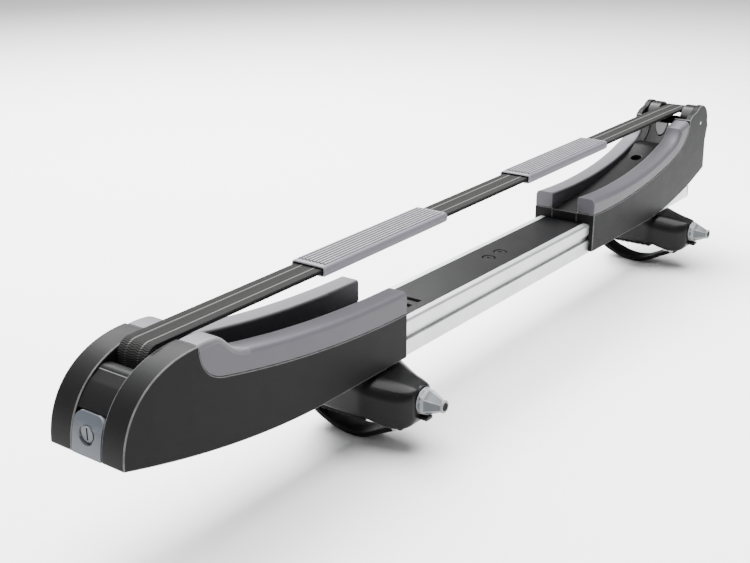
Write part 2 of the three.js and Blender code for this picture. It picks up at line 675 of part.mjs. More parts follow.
function housingPlan() {
  const shape = new THREE.Shape();
  shape.moveTo(-26, 40);
  shape.lineTo(26, 40);
  shape.lineTo(30, 20);
  shape.lineTo(30, -22);
  shape.bezierCurveTo(30, -38, 19.5, -42, 19.5, KNOB_BASE);
  shape.lineTo(-19.5, KNOB_BASE);
  shape.bezierCurveTo(-19.5, -42, -30, -38, -30, -22);
  shape.lineTo(-30, 20);
  return shape;
}

function footHousing(name, x) {
  const section = alongX(housingSection(), -31, 31, 0, 8);
  const plan = alongZ(housingPlan(), -50, 10, 0, 8);
  const hookRoom = box(-PRONG_OUTER - 0.8, PRONG_OUTER + 0.8, -54, HOOK_BACK + HOOK_TRAVEL + 1, -50, -9);
  const bolt = pinY(BOLT_R + HINGE_PLAY, 0, KNOB_Z, KNOB_TIP, BOLT_END + 1);
  const bandRoom = box(-BAND_HALF - 0.8, BAND_HALF + 0.8, 22, 45, -50, -16);
  const bandPin = pinX(PIN_R + FIT / 2, BAND_PIN_Y, BAND_PIN_Z, -40, 40);
  const boltBore = pinZ(TRACK_BOLT_R + FIT, 0, 0, -40, 5);
  const boltSink = pinZ(TRACK_HEAD_R + 1, 0, 0, -40, TRACK_SINK_Z, 24);
  const housing = cut(common(section, plan), hookRoom, bolt, bandRoom, bandPin, boltBore, boltSink);
  piece(name, geometryOf(housing).translate(x, 0, 0), GLOSS_BLACK);
}

function footBand(name, x) {
  const path = new THREE.CatmullRomCurve3(
    [
      [BAND_PIN_Y + 2.6, BAND_PIN_Z - 2],
      [37, -36],
      [34, -45.5],
      [21, -52.5],
      [4, -57],
      [-13, -56],
      [-30, -48],
      [T_BAR_Y + 2, T_BAR_Z - 3],
    ].map(([y, z]) => new THREE.Vector3(y, z, 0)),
  );
  const outerSide = [];
  const innerSide = [];
  const steps = 30;
  for (let i = 0; i <= steps; i++) {
    const p = path.getPoint(i / steps);
    const along = path.getTangent(i / steps);
    outerSide.push([p.x - (along.y * BAND_THICK) / 2, p.y + (along.x * BAND_THICK) / 2]);
    innerSide.unshift([p.x + (along.y * BAND_THICK) / 2, p.y - (along.x * BAND_THICK) / 2]);
  }
  const strip = alongX(outline([...outerSide, ...innerSide].reverse()), -BAND_HALF, BAND_HALF);
  const eyes = join(
    strip,
    pinX(EYE_R, BAND_PIN_Y, BAND_PIN_Z, -BAND_HALF, BAND_HALF),
    pinX(EYE_R, T_BAR_Y, T_BAR_Z, -BAND_HALF, BAND_HALF),
  );
  const bores = [
    pinX(PIN_R + HINGE_PLAY, BAND_PIN_Y, BAND_PIN_Z, -20, 20),
    pinX(T_BAR_R + FIT, T_BAR_Y, T_BAR_Z, -20, 20),
  ];
  piece(name, geometryOf(cut(eyes, ...bores)).translate(x, 0, 0), RUBBER);
}

const FLUTES = 6;
const FLUTE_DEPTH = 0.07; // share of the radius

function knobGeometry() {
  const profile = [
    [0, 0],
    [KNOB_R - 1, 0],
    [KNOB_R, 1.2],
    [KNOB_R - 0.4, 6],
    [KNOB_R - 3.4, 14],
    [4.4, 18.4],
    [3.6, 19],
    [0, 19],
  ].map(([r, h]) => new THREE.Vector2(r, h));
  const turned = new THREE.LatheGeometry(profile, 36);
  const position = turned.attributes.position;
  const point = new THREE.Vector3();
  for (let i = 0; i < position.count; i++) {
    point.fromBufferAttribute(position, i);
    const flute = (1 - Math.cos(FLUTES * Math.atan2(point.z, point.x))) / 2;
    const lobes = 1 - FLUTE_DEPTH * Math.sin((Math.PI * point.y) / (KNOB_BASE - KNOB_TIP)) * flute;
    position.setXYZ(i, point.x * lobes, point.y, point.z * lobes);
  }
  return turned.rotateX(Math.PI).translate(0, KNOB_BASE, KNOB_Z);
}

function footKnob(suffix, x) {
  const bore = pinY(BOLT_R + FIT, 0, KNOB_Z, KNOB_TIP + BOLT_DEPTH, 0);
  piece("knob_" + suffix, geometryOf(cut(knobGeometry(), bore)).translate(x, 0, 0), KNOB_GREY);
  const bolt = pinY(BOLT_R, 0, KNOB_Z, KNOB_TIP + BOLT_DEPTH + FIT, BOLT_END);
  piece("tension_bolt_" + suffix, bolt.translate(x, 0, 0), STEEL);
}

function footHook(suffix, x) {
  const nut = box(-PRONG_OUTER, PRONG_OUTER, HOOK_FRONT, HOOK_BACK, -26, -10.5);
  const prongs = SIDES.map(([, side]) => {
    const [x0, x1] = sideways(side, PRONG_INNER, PRONG_OUTER);
    return box(x0, x1, HOOK_FRONT, HOOK_BACK, -39, -20);
  });
  const bore = pinY(BOLT_R + FIT, 0, KNOB_Z, -60, 0);
  piece("tension_hook_" + suffix, geometryOf(cut(join(nut, ...prongs), bore)).translate(x, 0, 0), STEEL);
}

function footSaddle(suffix, x) {
  const slab = box(-27, 27, -27, 20, -FOOT_HEIGHT, HOUSING_BOTTOM - FIT);
  piece("saddle_pad_" + suffix, slab.translate(x, 0, 0), RUBBER);
  const plate = box(-12, 12, -9, 9, TRACK_LIP + FIT, TRACK_LIP + 4);
  const nut = cut(join(plate, pinZ(5, 0, 0, -FIT, TRACK_LIP + 1)), pinZ(TRACK_BOLT_R + FIT, 0, 0, -5, 12));
  piece("track_nut_" + suffix, geometryOf(nut).translate(x, 0, 0), STEEL);
  const shank = pinZ(TRACK_BOLT_R, 0, 0, TRACK_SINK_Z - 1, TRACK_TOP - FIT * 2);
  const head = pinZ(TRACK_HEAD_R, 0, 0, TRACK_SINK_Z - 3, TRACK_SINK_Z - FIT, 24);
  const socket = pinZ(HEX_R, 0, 0, TRACK_SINK_Z - 6, TRACK_SINK_Z - 1.5, 6);
  piece("foot_bolt_" + suffix, geometryOf(cut(join(shank, head), socket)).translate(x, 0, 0), STEEL);
}

function foot(suffix, x) {
  footHousing("foot_housing_" + suffix, x);
  footSaddle(suffix, x);
  footBand("band_" + suffix, x);
  footKnob(suffix, x);
  footHook(suffix, x);
  const bandPin = pinX(PIN_R, BAND_PIN_Y, BAND_PIN_Z, -24, 24);
  piece("band_pin_" + suffix, bandPin.translate(x, 0, 0), STEEL);
  const reach = PRONG_OUTER + 0.4;
  const tBar = pinX(T_BAR_R, T_BAR_Y, T_BAR_Z, -reach, reach);
  piece("t_bar_" + suffix, tBar.translate(x, 0, 0), STEEL);
}

// ---------------------------------------------------------------- assembly
rail();
coverStrip();
railEndCap();
nearChassis();
railScrews();
camLever();
lockPlate();
lockBarrel();
strap();
guideRoller();
sleeve("near_sleeve", NEAR_SLEEVE_X);
sleeve("far_sleeve", FAR_SLEEVE_X);
farChassis();
strapYoke();
for (const [name, side] of SIDES) {
  nearCheek("near_cheek_" + name, side);
  farCheek("far_cheek_" + name, side);
  pad("near_pad_" + name, nearPadShape(), side);
  pad("far_pad_" + name, farPadShape(), side);
  slideLiner("slide_liner_" + name, side);
}
foot("near", FOOT_X);
foot("far", FOOT_X + FOOT_SPACING);

// The part's origin is on the underside of the near foot's saddle.
carrier.position.set(-FOOT_X, 0, FOOT_HEIGHT);
const boardCarrier = new THREE.Group();
boardCarrier.add(carrier);

export default boardCarrier;
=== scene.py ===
"""Roof board carrier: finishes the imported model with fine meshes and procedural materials."""

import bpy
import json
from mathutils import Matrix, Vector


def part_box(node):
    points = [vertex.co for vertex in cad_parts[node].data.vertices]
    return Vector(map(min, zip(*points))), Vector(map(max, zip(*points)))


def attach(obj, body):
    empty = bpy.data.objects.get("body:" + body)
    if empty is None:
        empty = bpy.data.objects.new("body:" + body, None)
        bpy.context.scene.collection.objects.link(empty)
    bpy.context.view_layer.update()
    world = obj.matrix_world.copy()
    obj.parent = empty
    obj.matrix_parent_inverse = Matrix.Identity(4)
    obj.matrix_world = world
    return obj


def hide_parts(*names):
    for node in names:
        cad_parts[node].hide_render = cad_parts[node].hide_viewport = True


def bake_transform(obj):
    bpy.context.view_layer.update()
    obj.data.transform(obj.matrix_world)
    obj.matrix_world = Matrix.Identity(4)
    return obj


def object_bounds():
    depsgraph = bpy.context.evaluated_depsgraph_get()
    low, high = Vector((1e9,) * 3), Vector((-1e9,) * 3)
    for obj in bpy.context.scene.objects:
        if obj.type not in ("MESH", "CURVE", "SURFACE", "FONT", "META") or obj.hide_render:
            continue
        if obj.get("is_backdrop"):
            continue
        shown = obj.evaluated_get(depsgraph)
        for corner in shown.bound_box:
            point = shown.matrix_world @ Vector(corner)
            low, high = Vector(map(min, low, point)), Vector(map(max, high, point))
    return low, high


bl_info = {
    "name": "Roof board carrier",
    "version": (1, 0, 0),
    "blender": (4, 5, 0),
    "location": "View3D > Sidebar > Carrier",
    "description": "Builds the pieces, materials and stage of a telescoping board carrier",
    "category": "Object",
}

import json
import math

import bmesh
import bpy
from mathutils import Matrix, Vector

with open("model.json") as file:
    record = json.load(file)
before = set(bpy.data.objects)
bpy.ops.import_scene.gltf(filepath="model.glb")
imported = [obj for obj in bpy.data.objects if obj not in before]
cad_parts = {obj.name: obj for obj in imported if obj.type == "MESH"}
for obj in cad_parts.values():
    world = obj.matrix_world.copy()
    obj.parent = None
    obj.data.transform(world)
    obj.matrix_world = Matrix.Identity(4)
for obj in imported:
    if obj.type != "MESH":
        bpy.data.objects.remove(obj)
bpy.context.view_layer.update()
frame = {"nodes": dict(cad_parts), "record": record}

MM = 0.001
NOSE_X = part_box("near_cheek_right")[0][0] - 2.5 * MM  # x of the nose tip's plane
RAIL_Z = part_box("base_rail")[0][2]  # height of the rail's underside
FAR_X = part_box("far_cheek_right")[0][0]
SIDES = (("right", -1), ("left", 1))
FEET = ("near", "far")


def at(x, y, z):
    """A point given in millimetres from the nose tip, the centre plane and the rail's underside."""
    return Vector((NOSE_X + x * MM, y * MM, RAIL_Z + z * MM))


# ---------- sizes and colours


def length(name, description, default):
    """A size, its default given in millimetres."""
    return bpy.props.FloatProperty(
        name=name, description=description, default=default * MM, unit="LENGTH"
    )


def number(name, description, default):
    return bpy.props.IntProperty(name=name, description=description, default=default)


class CarrierSizes(bpy.types.PropertyGroup):
    """Sizes a user may change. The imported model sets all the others."""

    shell_round: length("Shell edge", "Radius on the cradle shell's edges", 0.8)
    pad_round: length("Pad shoulder", "Radius on the pad's outer top edge", 5.5)
    sleeve_ribs: number("Sleeve ribs", "Ribs along the top of each sleeve", 8)
    rib_height: length("Rib height", "How far a sleeve rib stands up", 1.2)
    band_ridges: number("Band ridges", "Ridges across the clamp band's width", 7)
    weave_pitch: length("Weave pitch", "Length of one weave repeat", 1.25)
    stripe_offset: length("Stripe offset", "Webbing stripe from the centre", 5.5)
    knob_facets: number("Knob facets", "Flats round a knob", 6)


def colour(name, description, default):
    return bpy.props.FloatVectorProperty(
        name=name, description=description, default=default, size=3, subtype="COLOR", min=0, max=1
    )


class CarrierColours(bpy.types.PropertyGroup):
    """Colours of the finishes."""

    shell: colour("Shell", "Satin black moulding", (0.0085, 0.0085, 0.0088))
    pad: colour("Pad", "Grey rubber pad", (0.072, 0.070, 0.081))
    sleeve: colour("Sleeve", "Grey ribbed sleeve", (0.105, 0.102, 0.120))
    lock: colour("Lock plate", "Blue-grey lock plate", (0.055, 0.062, 0.074))
    knob: colour("Knob", "Pale blue-grey knob", (0.055, 0.064, 0.072))
    housing: colour("Foot housing", "Gloss black foot", (0.005, 0.005, 0.0054))
    rubber: colour("Rubber", "Black rubber", (0.005, 0.005, 0.005))
    rail: colour("Rail", "Silver anodising", (0.600, 0.605, 0.612))
    steel: colour("Steel", "Zinc plate", (0.420, 0.420, 0.430))
    webbing: colour("Webbing", "Grey polyester", (0.012, 0.012, 0.0118))
    stripe: colour("Stripe", "Pale webbing stripe", (0.120, 0.120, 0.115))


def sizes():
    return bpy.context.scene.carrier_sizes


def colours():
    return bpy.context.scene.carrier_colours


# ---------- shared shader groups


class Nodes:
    """Adds linked nodes to one tree in short lines."""

    def __init__(self, tree):
        self.tree = tree
        self.x = 0

    def add(self, kind, inputs=None, **settings):
        """A new node; inputs are values or other nodes' outputs."""
        node = self.tree.nodes.new(kind)
        self.x += 180
        node.location = (self.x, 0)
        for key, value in settings.items():
            setattr(node, key, value)
        for key, value in (inputs or {}).items():
            self.feed(node.inputs[key], value)
        return node

    def feed(self, socket, value):
        if isinstance(value, bpy.types.NodeSocket):
            self.tree.links.new(value, socket)
        else:
            socket.default_value = value

    def maths(self, operation, a, b=0.0, clamp=False):
        node = self.add("ShaderNodeMath", {0: a, 1: b}, operation=operation, use_clamp=clamp)
        return node.outputs[0]

    def noise(self, where, scale, detail=3.0, rough=0.5):
        inputs = {"Vector": where, "Scale": scale, "Detail": detail, "Roughness": rough}
        return self.add("ShaderNodeTexNoise", inputs).outputs["Fac"]

    def spread(self, value, low, high, to_low, to_high):
        """Maps a value from one range to another."""
        reach = {"From Min": low, "From Max": high, "To Min": to_low, "To Max": to_high}
        return self.add("ShaderNodeMapRange", {"Value": value, **reach}).outputs["Result"]

    def blend(self, factor, first, second):
        node = self.add("ShaderNodeMix", data_type="RGBA")
        self.feed(node.inputs[0], factor)
        self.feed(node.inputs[6], first)
        self.feed(node.inputs[7], second)
        return node.outputs[2]


def shader_group(name, inputs, outputs):
    """An empty node group with named sockets, and the helper that fills it."""
    group = bpy.data.node_groups.new(name, "ShaderNodeTree")
    for label, kind, default in inputs:
        socket = group.interface.new_socket(label, in_out="INPUT", socket_type="NodeSocket" + kind)
        if default is not None:
            socket.default_value = default
    for label, kind in outputs:
        group.interface.new_socket(label, in_out="OUTPUT", socket_type="NodeSocket" + kind)
    nodes = Nodes(group)
    entry = group.nodes.new("NodeGroupInput")
    leave = group.nodes.new("NodeGroupOutput")
    return group, nodes, entry, leave


def grain_group():
    """Fine moulded grain with slow tone changes: colour, roughness and height."""
    group, nodes, entry, leave = shader_group(
        "moulded_grain",
        [
            ("Vector", "Vector", None),
            ("Colour", "Color", (0.5, 0.5, 0.5, 1)),
            ("Tone", "Float", 0.15),
            ("Roughness", "Float", 0.5),
            ("Grain Scale", "Float", 1800.0),
        ],
        [("Colour", "Color"), ("Roughness", "Float"), ("Height", "Float")],
    )
    where = entry.outputs["Vector"]
    slow = nodes.noise(where, scale=14.0, detail=4.0, rough=0.55)
    shade = nodes.maths("MULTIPLY", nodes.maths("SUBTRACT", slow, 0.5), entry.outputs["Tone"])
    gain = nodes.maths("ADD", nodes.maths("MULTIPLY", shade, 2.0), 1.0)
    toned = nodes.add("ShaderNodeVectorMath", operation="SCALE")
    nodes.feed(toned.inputs[0], entry.outputs["Colour"])
    nodes.feed(toned.inputs["Scale"], gain)
    fine = nodes.noise(where, entry.outputs["Grain Scale"], detail=2.0, rough=0.6)
    patches = nodes.noise(where, scale=60.0, detail=3.0, rough=0.6)
    patchy = nodes.spread(patches, low=0.3, high=0.7, to_low=-0.02, to_high=0.02)
    rough = nodes.maths("ADD", entry.outputs["Roughness"], patchy, clamp=True)
    group.links.new(toned.outputs["Vector"], leave.inputs["Colour"])
    group.links.new(rough, leave.inputs["Roughness"])
    group.links.new(fine, leave.inputs["Height"])
    return group


def edge_group():
    """Paler colour on the faces that a bevel left along an edge: rubbed wear and a painted
    highlight on the rounded edges.
    """
    group, nodes, entry, leave = shader_group(
        "edge_wear_and_painted_highlight",
        [
            ("Vector", "Vector", None),
            ("Colour", "Color", (0.5, 0.5, 0.5, 1)),
            ("Edge Colour", "Color", (0.8, 0.8, 0.8, 1)),
            ("Amount", "Float", 0.3),
        ],
        [("Colour", "Color")],
    )
    # Painted highlight: the bevel faces get a paler colour, standing both for rubbed wear and for
    # light caught on the rounded edges.
    edge = nodes.add("ShaderNodeAttribute", attribute_name="rim").outputs["Fac"]
    edge_breakup = nodes.noise(entry.outputs["Vector"], scale=120.0, detail=4.0, rough=0.7)
    broken = nodes.spread(edge_breakup, low=0.35, high=0.65, to_low=0.6, to_high=1.0)
    patched = nodes.maths("MULTIPLY", edge, broken)
    mask = nodes.maths("MULTIPLY", patched, entry.outputs["Amount"], clamp=True)
    mixed = nodes.blend(mask, entry.outputs["Colour"], entry.outputs["Edge Colour"])
    group.links.new(mixed, leave.inputs["Colour"])
    return group


STREAK_SCALE = (3.0, 900.0, 900.0)  # drawn lines are long in X and fine across it


def drawn_group():
    """Fine lines left along X by drawing or brushing metal."""
    group, nodes, entry, leave = shader_group(
        "drawn_lines",
        [("Vector", "Vector", None), ("Roughness", "Float", 0.3), ("Amount", "Float", 0.1)],
        [("Roughness", "Float"), ("Height", "Float")],
    )
    inputs = {"Vector": entry.outputs["Vector"], "Scale": STREAK_SCALE}
    stretched = nodes.add("ShaderNodeMapping", inputs)
    lines = nodes.noise(stretched.outputs["Vector"], scale=1.0, detail=4.0, rough=0.7)
    swing = nodes.maths("MULTIPLY", nodes.maths("SUBTRACT", lines, 0.5), entry.outputs["Amount"])
    rough = nodes.maths("ADD", entry.outputs["Roughness"], swing, clamp=True)
    group.links.new(rough, leave.inputs["Roughness"])
    group.links.new(lines, leave.inputs["Height"])
    return group


def place_group(nodes, name, inputs):
    """A node that uses one of the shared groups."""
    node = nodes.add("ShaderNodeGroup")
    node.node_tree = bpy.data.node_groups[name]
    for key, value in inputs.items():
        nodes.feed(node.inputs[key], value)
    return node


# ---------- materials

GRAIN_DEPTH = 0.12 * MM
LINE_DEPTH = 0.05 * MM
WEAVE_DEPTH = 0.4 * MM
TARNISH = 0.86  # how bright the darker film on metal is against the clean finish


def start_material(name):
    """A material with its Principled shader and the piece's Object coordinates."""
    material = bpy.data.materials.new(name)
    material.use_nodes = True
    tree = material.node_tree
    shader = tree.nodes["Principled BSDF"]
    nodes = Nodes(tree)
    nodes.x = -1600
    where = nodes.add("ShaderNodeTexCoord").outputs["Object"]
    return material, nodes, shader, where


def finish_bump(nodes, shader, height, strength, distance):
    inputs = {"Height": height, "Strength": strength, "Distance": distance}
    bump = nodes.add("ShaderNodeBump", inputs)
    nodes.feed(shader.inputs["Normal"], bump.outputs["Normal"])


def rgba(value):
    return (*value, 1.0)


# slot: its colour, then the brightness of the paler edges (rubbed wear and a painted highlight),
# roughness, grains per metre and what differs from a plain dull moulding
MOULDINGS = {
    "shell_black": ("shell", dict(edge=0.14, rough=0.46, grain=2300.0, edge_wear_and_highlight=0.9, shine=0.05)),
    "pad_grey": ("pad", dict(edge=0.24, rough=0.50, grain=1500.0, edge_wear_and_highlight=0.2, shine=0.2, sheen=0.05)),
    "sleeve_grey": ("sleeve", dict(edge=0.34, rough=0.55, grain=1700.0)),
    "lock_grey": ("lock", dict(edge=0.40, rough=0.38, grain=2600.0, bump=0.2)),
    "knob_grey": ("knob", dict(edge=0.50, rough=0.30, grain=2200.0, bump=0.2, tone=0.1, shine=0.4)),
    "housing_black": (
        "housing",
        dict(edge=0.06, rough=0.33, grain=900.0, bump=0.02, edge_wear_and_highlight=0.1, shine=0.12, coat=0.03),
    ),
    "rubber_black": (
        "rubber",
        dict(edge=0.04, rough=0.62, grain=1300.0, bump=0.45, tone=0.15, shine=0.06),
    ),
}


def moulded(
    slot, base, edge, rough, grain, bump=0.3, tone=0.05, edge_wear_and_highlight=0.3, shine=0.25, sheen=0.0, coat=0.0
):
    """Moulded plastic or rubber: grain, slow tone changes and paler edges, which are rubbed wear
    and a painted highlight.
    """
    material, nodes, shader, where = start_material(slot)
    inputs = {"Vector": where, "Colour": rgba(base), "Tone": tone}
    inputs.update({"Roughness": rough, "Grain Scale": grain})
    skin = place_group(nodes, "moulded_grain", inputs)
    # Paler edge colour: rubbed wear and a painted highlight on the rounded edges.
    inputs = {"Vector": where, "Colour": skin.outputs["Colour"]}
    inputs.update({"Edge Colour": rgba((edge,) * 3), "Amount": edge_wear_and_highlight})
    edge_wear_and_highlight_colour = place_group(nodes, "edge_wear_and_painted_highlight", inputs)
    nodes.feed(shader.inputs["Base Color"], edge_wear_and_highlight_colour.outputs["Colour"])
    nodes.feed(shader.inputs["Roughness"], skin.outputs["Roughness"])
    shader.inputs["Specular IOR Level"].default_value = shine
    shader.inputs["Sheen Weight"].default_value = sheen
    shader.inputs["Coat Weight"].default_value = coat
    shader.inputs["Coat Roughness"].default_value = 0.15
    finish_bump(nodes, shader, skin.outputs["Height"], bump, GRAIN_DEPTH)
    return material


def metal(name, base, rough, lines, bump, metallic):
    """Drawn metal under a faint uneven film."""
    material, nodes, shader, where = start_material(name)
    inputs = {"Vector": where, "Roughness": rough, "Amount": lines}
    drawn = place_group(nodes, "drawn_lines", inputs)
    film = nodes.noise(where, scale=25.0, detail=4.0, rough=0.6)
    dark = [channel * TARNISH for channel in base]
    share = nodes.spread(film, low=0.35, high=0.65, to_low=0.0, to_high=1.0)
    shade = nodes.blend(share, rgba(base), rgba(dark))
    nodes.feed(shader.inputs["Base Color"], shade)
    nodes.feed(shader.inputs["Roughness"], drawn.outputs["Roughness"])
    finish_bump(nodes, shader, drawn.outputs["Height"], bump, LINE_DEPTH)
    shader.inputs["Metallic"].default_value = metallic
    return material


def rail_material():
    return metal("rail_silver", colours().rail, rough=0.42, lines=0.18, bump=0.25, metallic=0.75)


def steel_material():
    return metal("zinc_steel", colours().steel, rough=0.28, lines=0.22, bump=0.30, metallic=1.0)


BEND_END = 44 * MM  # length of strap up the nose and over the roller, where the wavy ribs stop
WARP_RATE = 1.4  # lengthwise yarns in one weave repeat
TWILL_LEAN = 1.6  # slope of the twill lines
TWILL_RATE = 0.5  # twill lines in one weave repeat
TWILL_SHARE = 0.7  # height of the twill against the plain weave
RIB_RATE = 0.92  # cross ribs in one weave repeat
SWAY = 0.3 * MM  # how far a cross rib wanders
SWAY_RATE = 1100.0  # radians of that wander in one metre across


def webbing_height(nodes, along, across):
    """Height of the weave, 0 to 1, with wavy cross ribs where the strap bends at the nose."""
    turns = 2 * math.pi / sizes().weave_pitch
    picks = nodes.maths("SINE", nodes.maths("MULTIPLY", along, turns))
    ends = nodes.maths("SINE", nodes.maths("MULTIPLY", across, turns * WARP_RATE))
    lean = nodes.maths("ADD", along, nodes.maths("MULTIPLY", across, TWILL_LEAN))
    twill = nodes.maths("SINE", nodes.maths("MULTIPLY", lean, turns * TWILL_RATE))
    raised = nodes.maths("MULTIPLY", twill, TWILL_SHARE)
    weave = nodes.maths("ADD", nodes.maths("MULTIPLY", picks, ends), raised)
    plain = nodes.spread(weave, low=-1.6, high=1.6, to_low=0.0, to_high=1.0)
    wave = nodes.maths("SINE", nodes.maths("MULTIPLY", across, SWAY_RATE))
    swayed = nodes.maths("ADD", along, nodes.maths("MULTIPLY", wave, SWAY))
    ribs = nodes.maths("SINE", nodes.maths("MULTIPLY", swayed, turns * RIB_RATE))
    ribbed = nodes.spread(ribs, low=-1.0, high=1.0, to_low=0.0, to_high=1.0)
    share = nodes.spread(along, BEND_END - 2 * MM, BEND_END + 3 * MM, to_low=0.85, to_high=0.0)
    mixed = nodes.add("ShaderNodeMix", data_type="FLOAT")
    for index, value in ((0, share), (2, plain), (3, ribbed)):
        nodes.feed(mixed.inputs[index], value)
    return mixed.outputs[0]


def webbing_material():
    """Woven polyester: raised picks, painted shade in the weave's hollows, two pale stripes and
    fuzz.
    """
    material, nodes, shader, where = start_material("webbing")
    across = nodes.add("ShaderNodeSeparateXYZ", {"Vector": where}).outputs["Y"]
    along = nodes.add("ShaderNodeAttribute", attribute_name="along").outputs["Fac"]
    height = webbing_height(nodes, along, across)
    side = nodes.maths("ABSOLUTE", across)
    offset = nodes.maths("ABSOLUTE", nodes.maths("SUBTRACT", side, sizes().stripe_offset))
    line = nodes.spread(offset, 0.30 * MM, 0.70 * MM, to_low=1.0, to_high=0.0)
    faded = nodes.spread(along, BEND_END - 4 * MM, BEND_END, to_low=0.15, to_high=1.0)
    stripe = nodes.maths("MULTIPLY", line, faded)
    # Painted shade: the colour darkens where the weave is low and lightens where it is raised.
    weave_hollow_shade = nodes.spread(height, low=0.1, high=0.9, to_low=0.35, to_high=1.35)
    fluff = nodes.noise(where, scale=900.0, detail=3.0, rough=0.7)
    fuzz = nodes.spread(fluff, low=0.3, high=0.7, to_low=0.82, to_high=1.18)
    tone = nodes.blend(stripe, rgba(colours().webbing), rgba(colours().stripe))
    toned = nodes.add("ShaderNodeVectorMath", operation="SCALE")
    nodes.feed(toned.inputs[0], tone)
    nodes.feed(toned.inputs["Scale"], nodes.maths("MULTIPLY", weave_hollow_shade, fuzz))
    nodes.feed(shader.inputs["Base Color"], toned.outputs["Vector"])
    shader.inputs["Roughness"].default_value = 0.88
    shader.inputs["Specular IOR Level"].default_value = 0.15
    finish_bump(nodes, shader, height, strength=0.9, distance=WEAVE_DEPTH)
    return material


OTHERS = {"rail_silver": rail_material, "steel": steel_material, "webbing": webbing_material}


def finish_of(slot):
    """The material of one of the record's slots, made when it is first asked for."""
    known = bpy.context.scene.get("finish_" + slot)
    if known is not None:
        return bpy.data.materials[known]
    if slot in MOULDINGS:
        shade, surface = MOULDINGS[slot]
        made = moulded(slot, getattr(colours(), shade), **surface)
    else:
        made = OTHERS[slot]()
    bpy.context.scene["finish_" + slot] = made.name
    return made


# ---------- mesh helpers


def bezier(start, first, second, end, steps):
    """Points of a cubic curve in x and z, without its last one."""
    found = []
    for i in range(steps):
        t = i / steps
        weights = ((1 - t) ** 3, 3 * t * (1 - t) ** 2, 3 * t * t * (1 - t), t**3)
        corners = (start, first, second, end)
        found.append(tuple(sum(w * p[k] for w, p in zip(weights, corners)) for k in (0, 1)))
    return found


def quadratic(start, middle, end, steps):
    """Points of a curve with one control point, without its last one."""
    first = tuple(s + (m - s) * 2 / 3 for s, m in zip(start, middle))
    second = tuple(e + (m - e) * 2 / 3 for e, m in zip(end, middle))
    return bezier(start, first, second, end, steps)


def prism(outline, y0, y1):
    """A closed bar whose side view is the outline, from y0 to y1, all in millimetres."""
    bm = bmesh.new()
    face = bm.faces.new([bm.verts.new(at(x, y0, z)) for x, z in outline])
    grown = bmesh.ops.extrude_face_region(bm, geom=[face])
    moved = [item for item in grown["geom"] if isinstance(item, bmesh.types.BMVert)]
    bmesh.ops.translate(bm, verts=moved, vec=(0, (y1 - y0) * MM, 0))
    bmesh.ops.recalc_face_normals(bm, faces=bm.faces[:])
    return bm


def rounded(bm, edges, radius, segments=3):
    bmesh.ops.bevel(
        bm,
        geom=list(edges),
        offset=radius,
        offset_type="OFFSET",
        affect="EDGES",
        segments=segments,
        profile=0.5,
        material=-1,
        clamp_overlap=True,
    )


def sharp_edges(bm, degrees=35.0):
    limit = math.radians(degrees)
    return [e for e in bm.edges if len(e.link_faces) == 2 and e.calc_face_angle(0) > limit]


NARROW = 0.4 * MM  # area over perimeter of the widest face that counts as a bevel


def mark_rims(bm):
    """Marks the narrow convex faces along the edges, for the paler edge colour: rubbed wear and a
    painted highlight.
    """
    layer = bm.loops.layers.float.new("rim")
    limit = math.radians(8)
    for face in bm.faces:
        bends = [edge.calc_face_angle_signed(0) for edge in face.edges if len(edge.link_faces) == 2]
        narrow = face.calc_area() < NARROW * face.calc_perimeter()
        value = 1.0 if narrow and bends and max(bends) > limit else 0.0
        for corner in face.loops:
            corner[layer] = value


def mesh_of(name, bm):
    """A mesh made from a bmesh, which is freed."""
    mesh = bpy.data.meshes.new(name)
    bm.to_mesh(mesh)
    bm.free()
    return mesh


def in_scene(name, data):
    """A new object at the origin, linked to the scene."""
    thing = bpy.data.objects.new(name, data)
    bpy.context.scene.collection.objects.link(thing)
    return thing


def add_piece(name, bm, slot, body, nodes=(), degrees=34.0):
    """Turns a bmesh into a shown piece that moves with a body and stands for CAD nodes."""
    mark_rims(bm)
    mesh = mesh_of(name, bm)
    mesh.shade_smooth()
    mesh.set_sharp_from_angle(angle=math.radians(degrees))
    piece = in_scene(name, mesh)
    mesh.materials.append(finish_of(slot))
    normals = piece.modifiers.new("even_normals", "WEIGHTED_NORMAL")
    normals.keep_sharp = True
    if body:
        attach(piece, body)
    if nodes:
        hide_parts(*nodes)
    return piece


MERGE_DISTANCE = 0.002 * MM
FLAT_ANGLE = math.radians(0.6)


def stand_in(node, name, bm, slot, degrees=34.0):
    """A piece that stands for one CAD node and moves with its body."""
    add_piece(name, bm, slot, body_of_node(node), [node], degrees)


def copied(node):
    """A merged working copy of a CAD node's mesh with its flat faces rejoined."""
    bm = bmesh.new()
    bm.from_mesh(frame["nodes"][node].data)
    bmesh.ops.remove_doubles(bm, verts=bm.verts[:], dist=MERGE_DISTANCE)
    bmesh.ops.dissolve_limit(
        bm,
        angle_limit=FLAT_ANGLE,
        verts=bm.verts[:],
        edges=bm.edges[:],
        use_dissolve_boundaries=False,
    )
    return bm


def refine(node, slot, radius, degrees=32.0, segments=2):
    """A finer piece for a CAD node: every sharp edge gets a small round."""
    bm = copied(node)
    rounded(bm, sharp_edges(bm, degrees), radius, segments)
    stand_in(node, node + "_fine", bm, slot)


def body_of_node(node):
    for body, nodes in frame["record"]["behaviour"]["bodies"].items():
        if node in nodes:
            return body
    raise ValueError("no body holds " + node)


def station(path, i, across):
    """The frame at one point of a path: x along it, y across, z up from it."""
    ahead = path[min(i + 1, len(path) - 1)] - path[max(i - 1, 0)]
    along = ahead.normalized()
    up = along.cross(across).normalized()
    turned = Matrix((along, across, up)).transposed().to_4x4()
    return Matrix.Translation(path[i]) @ turned


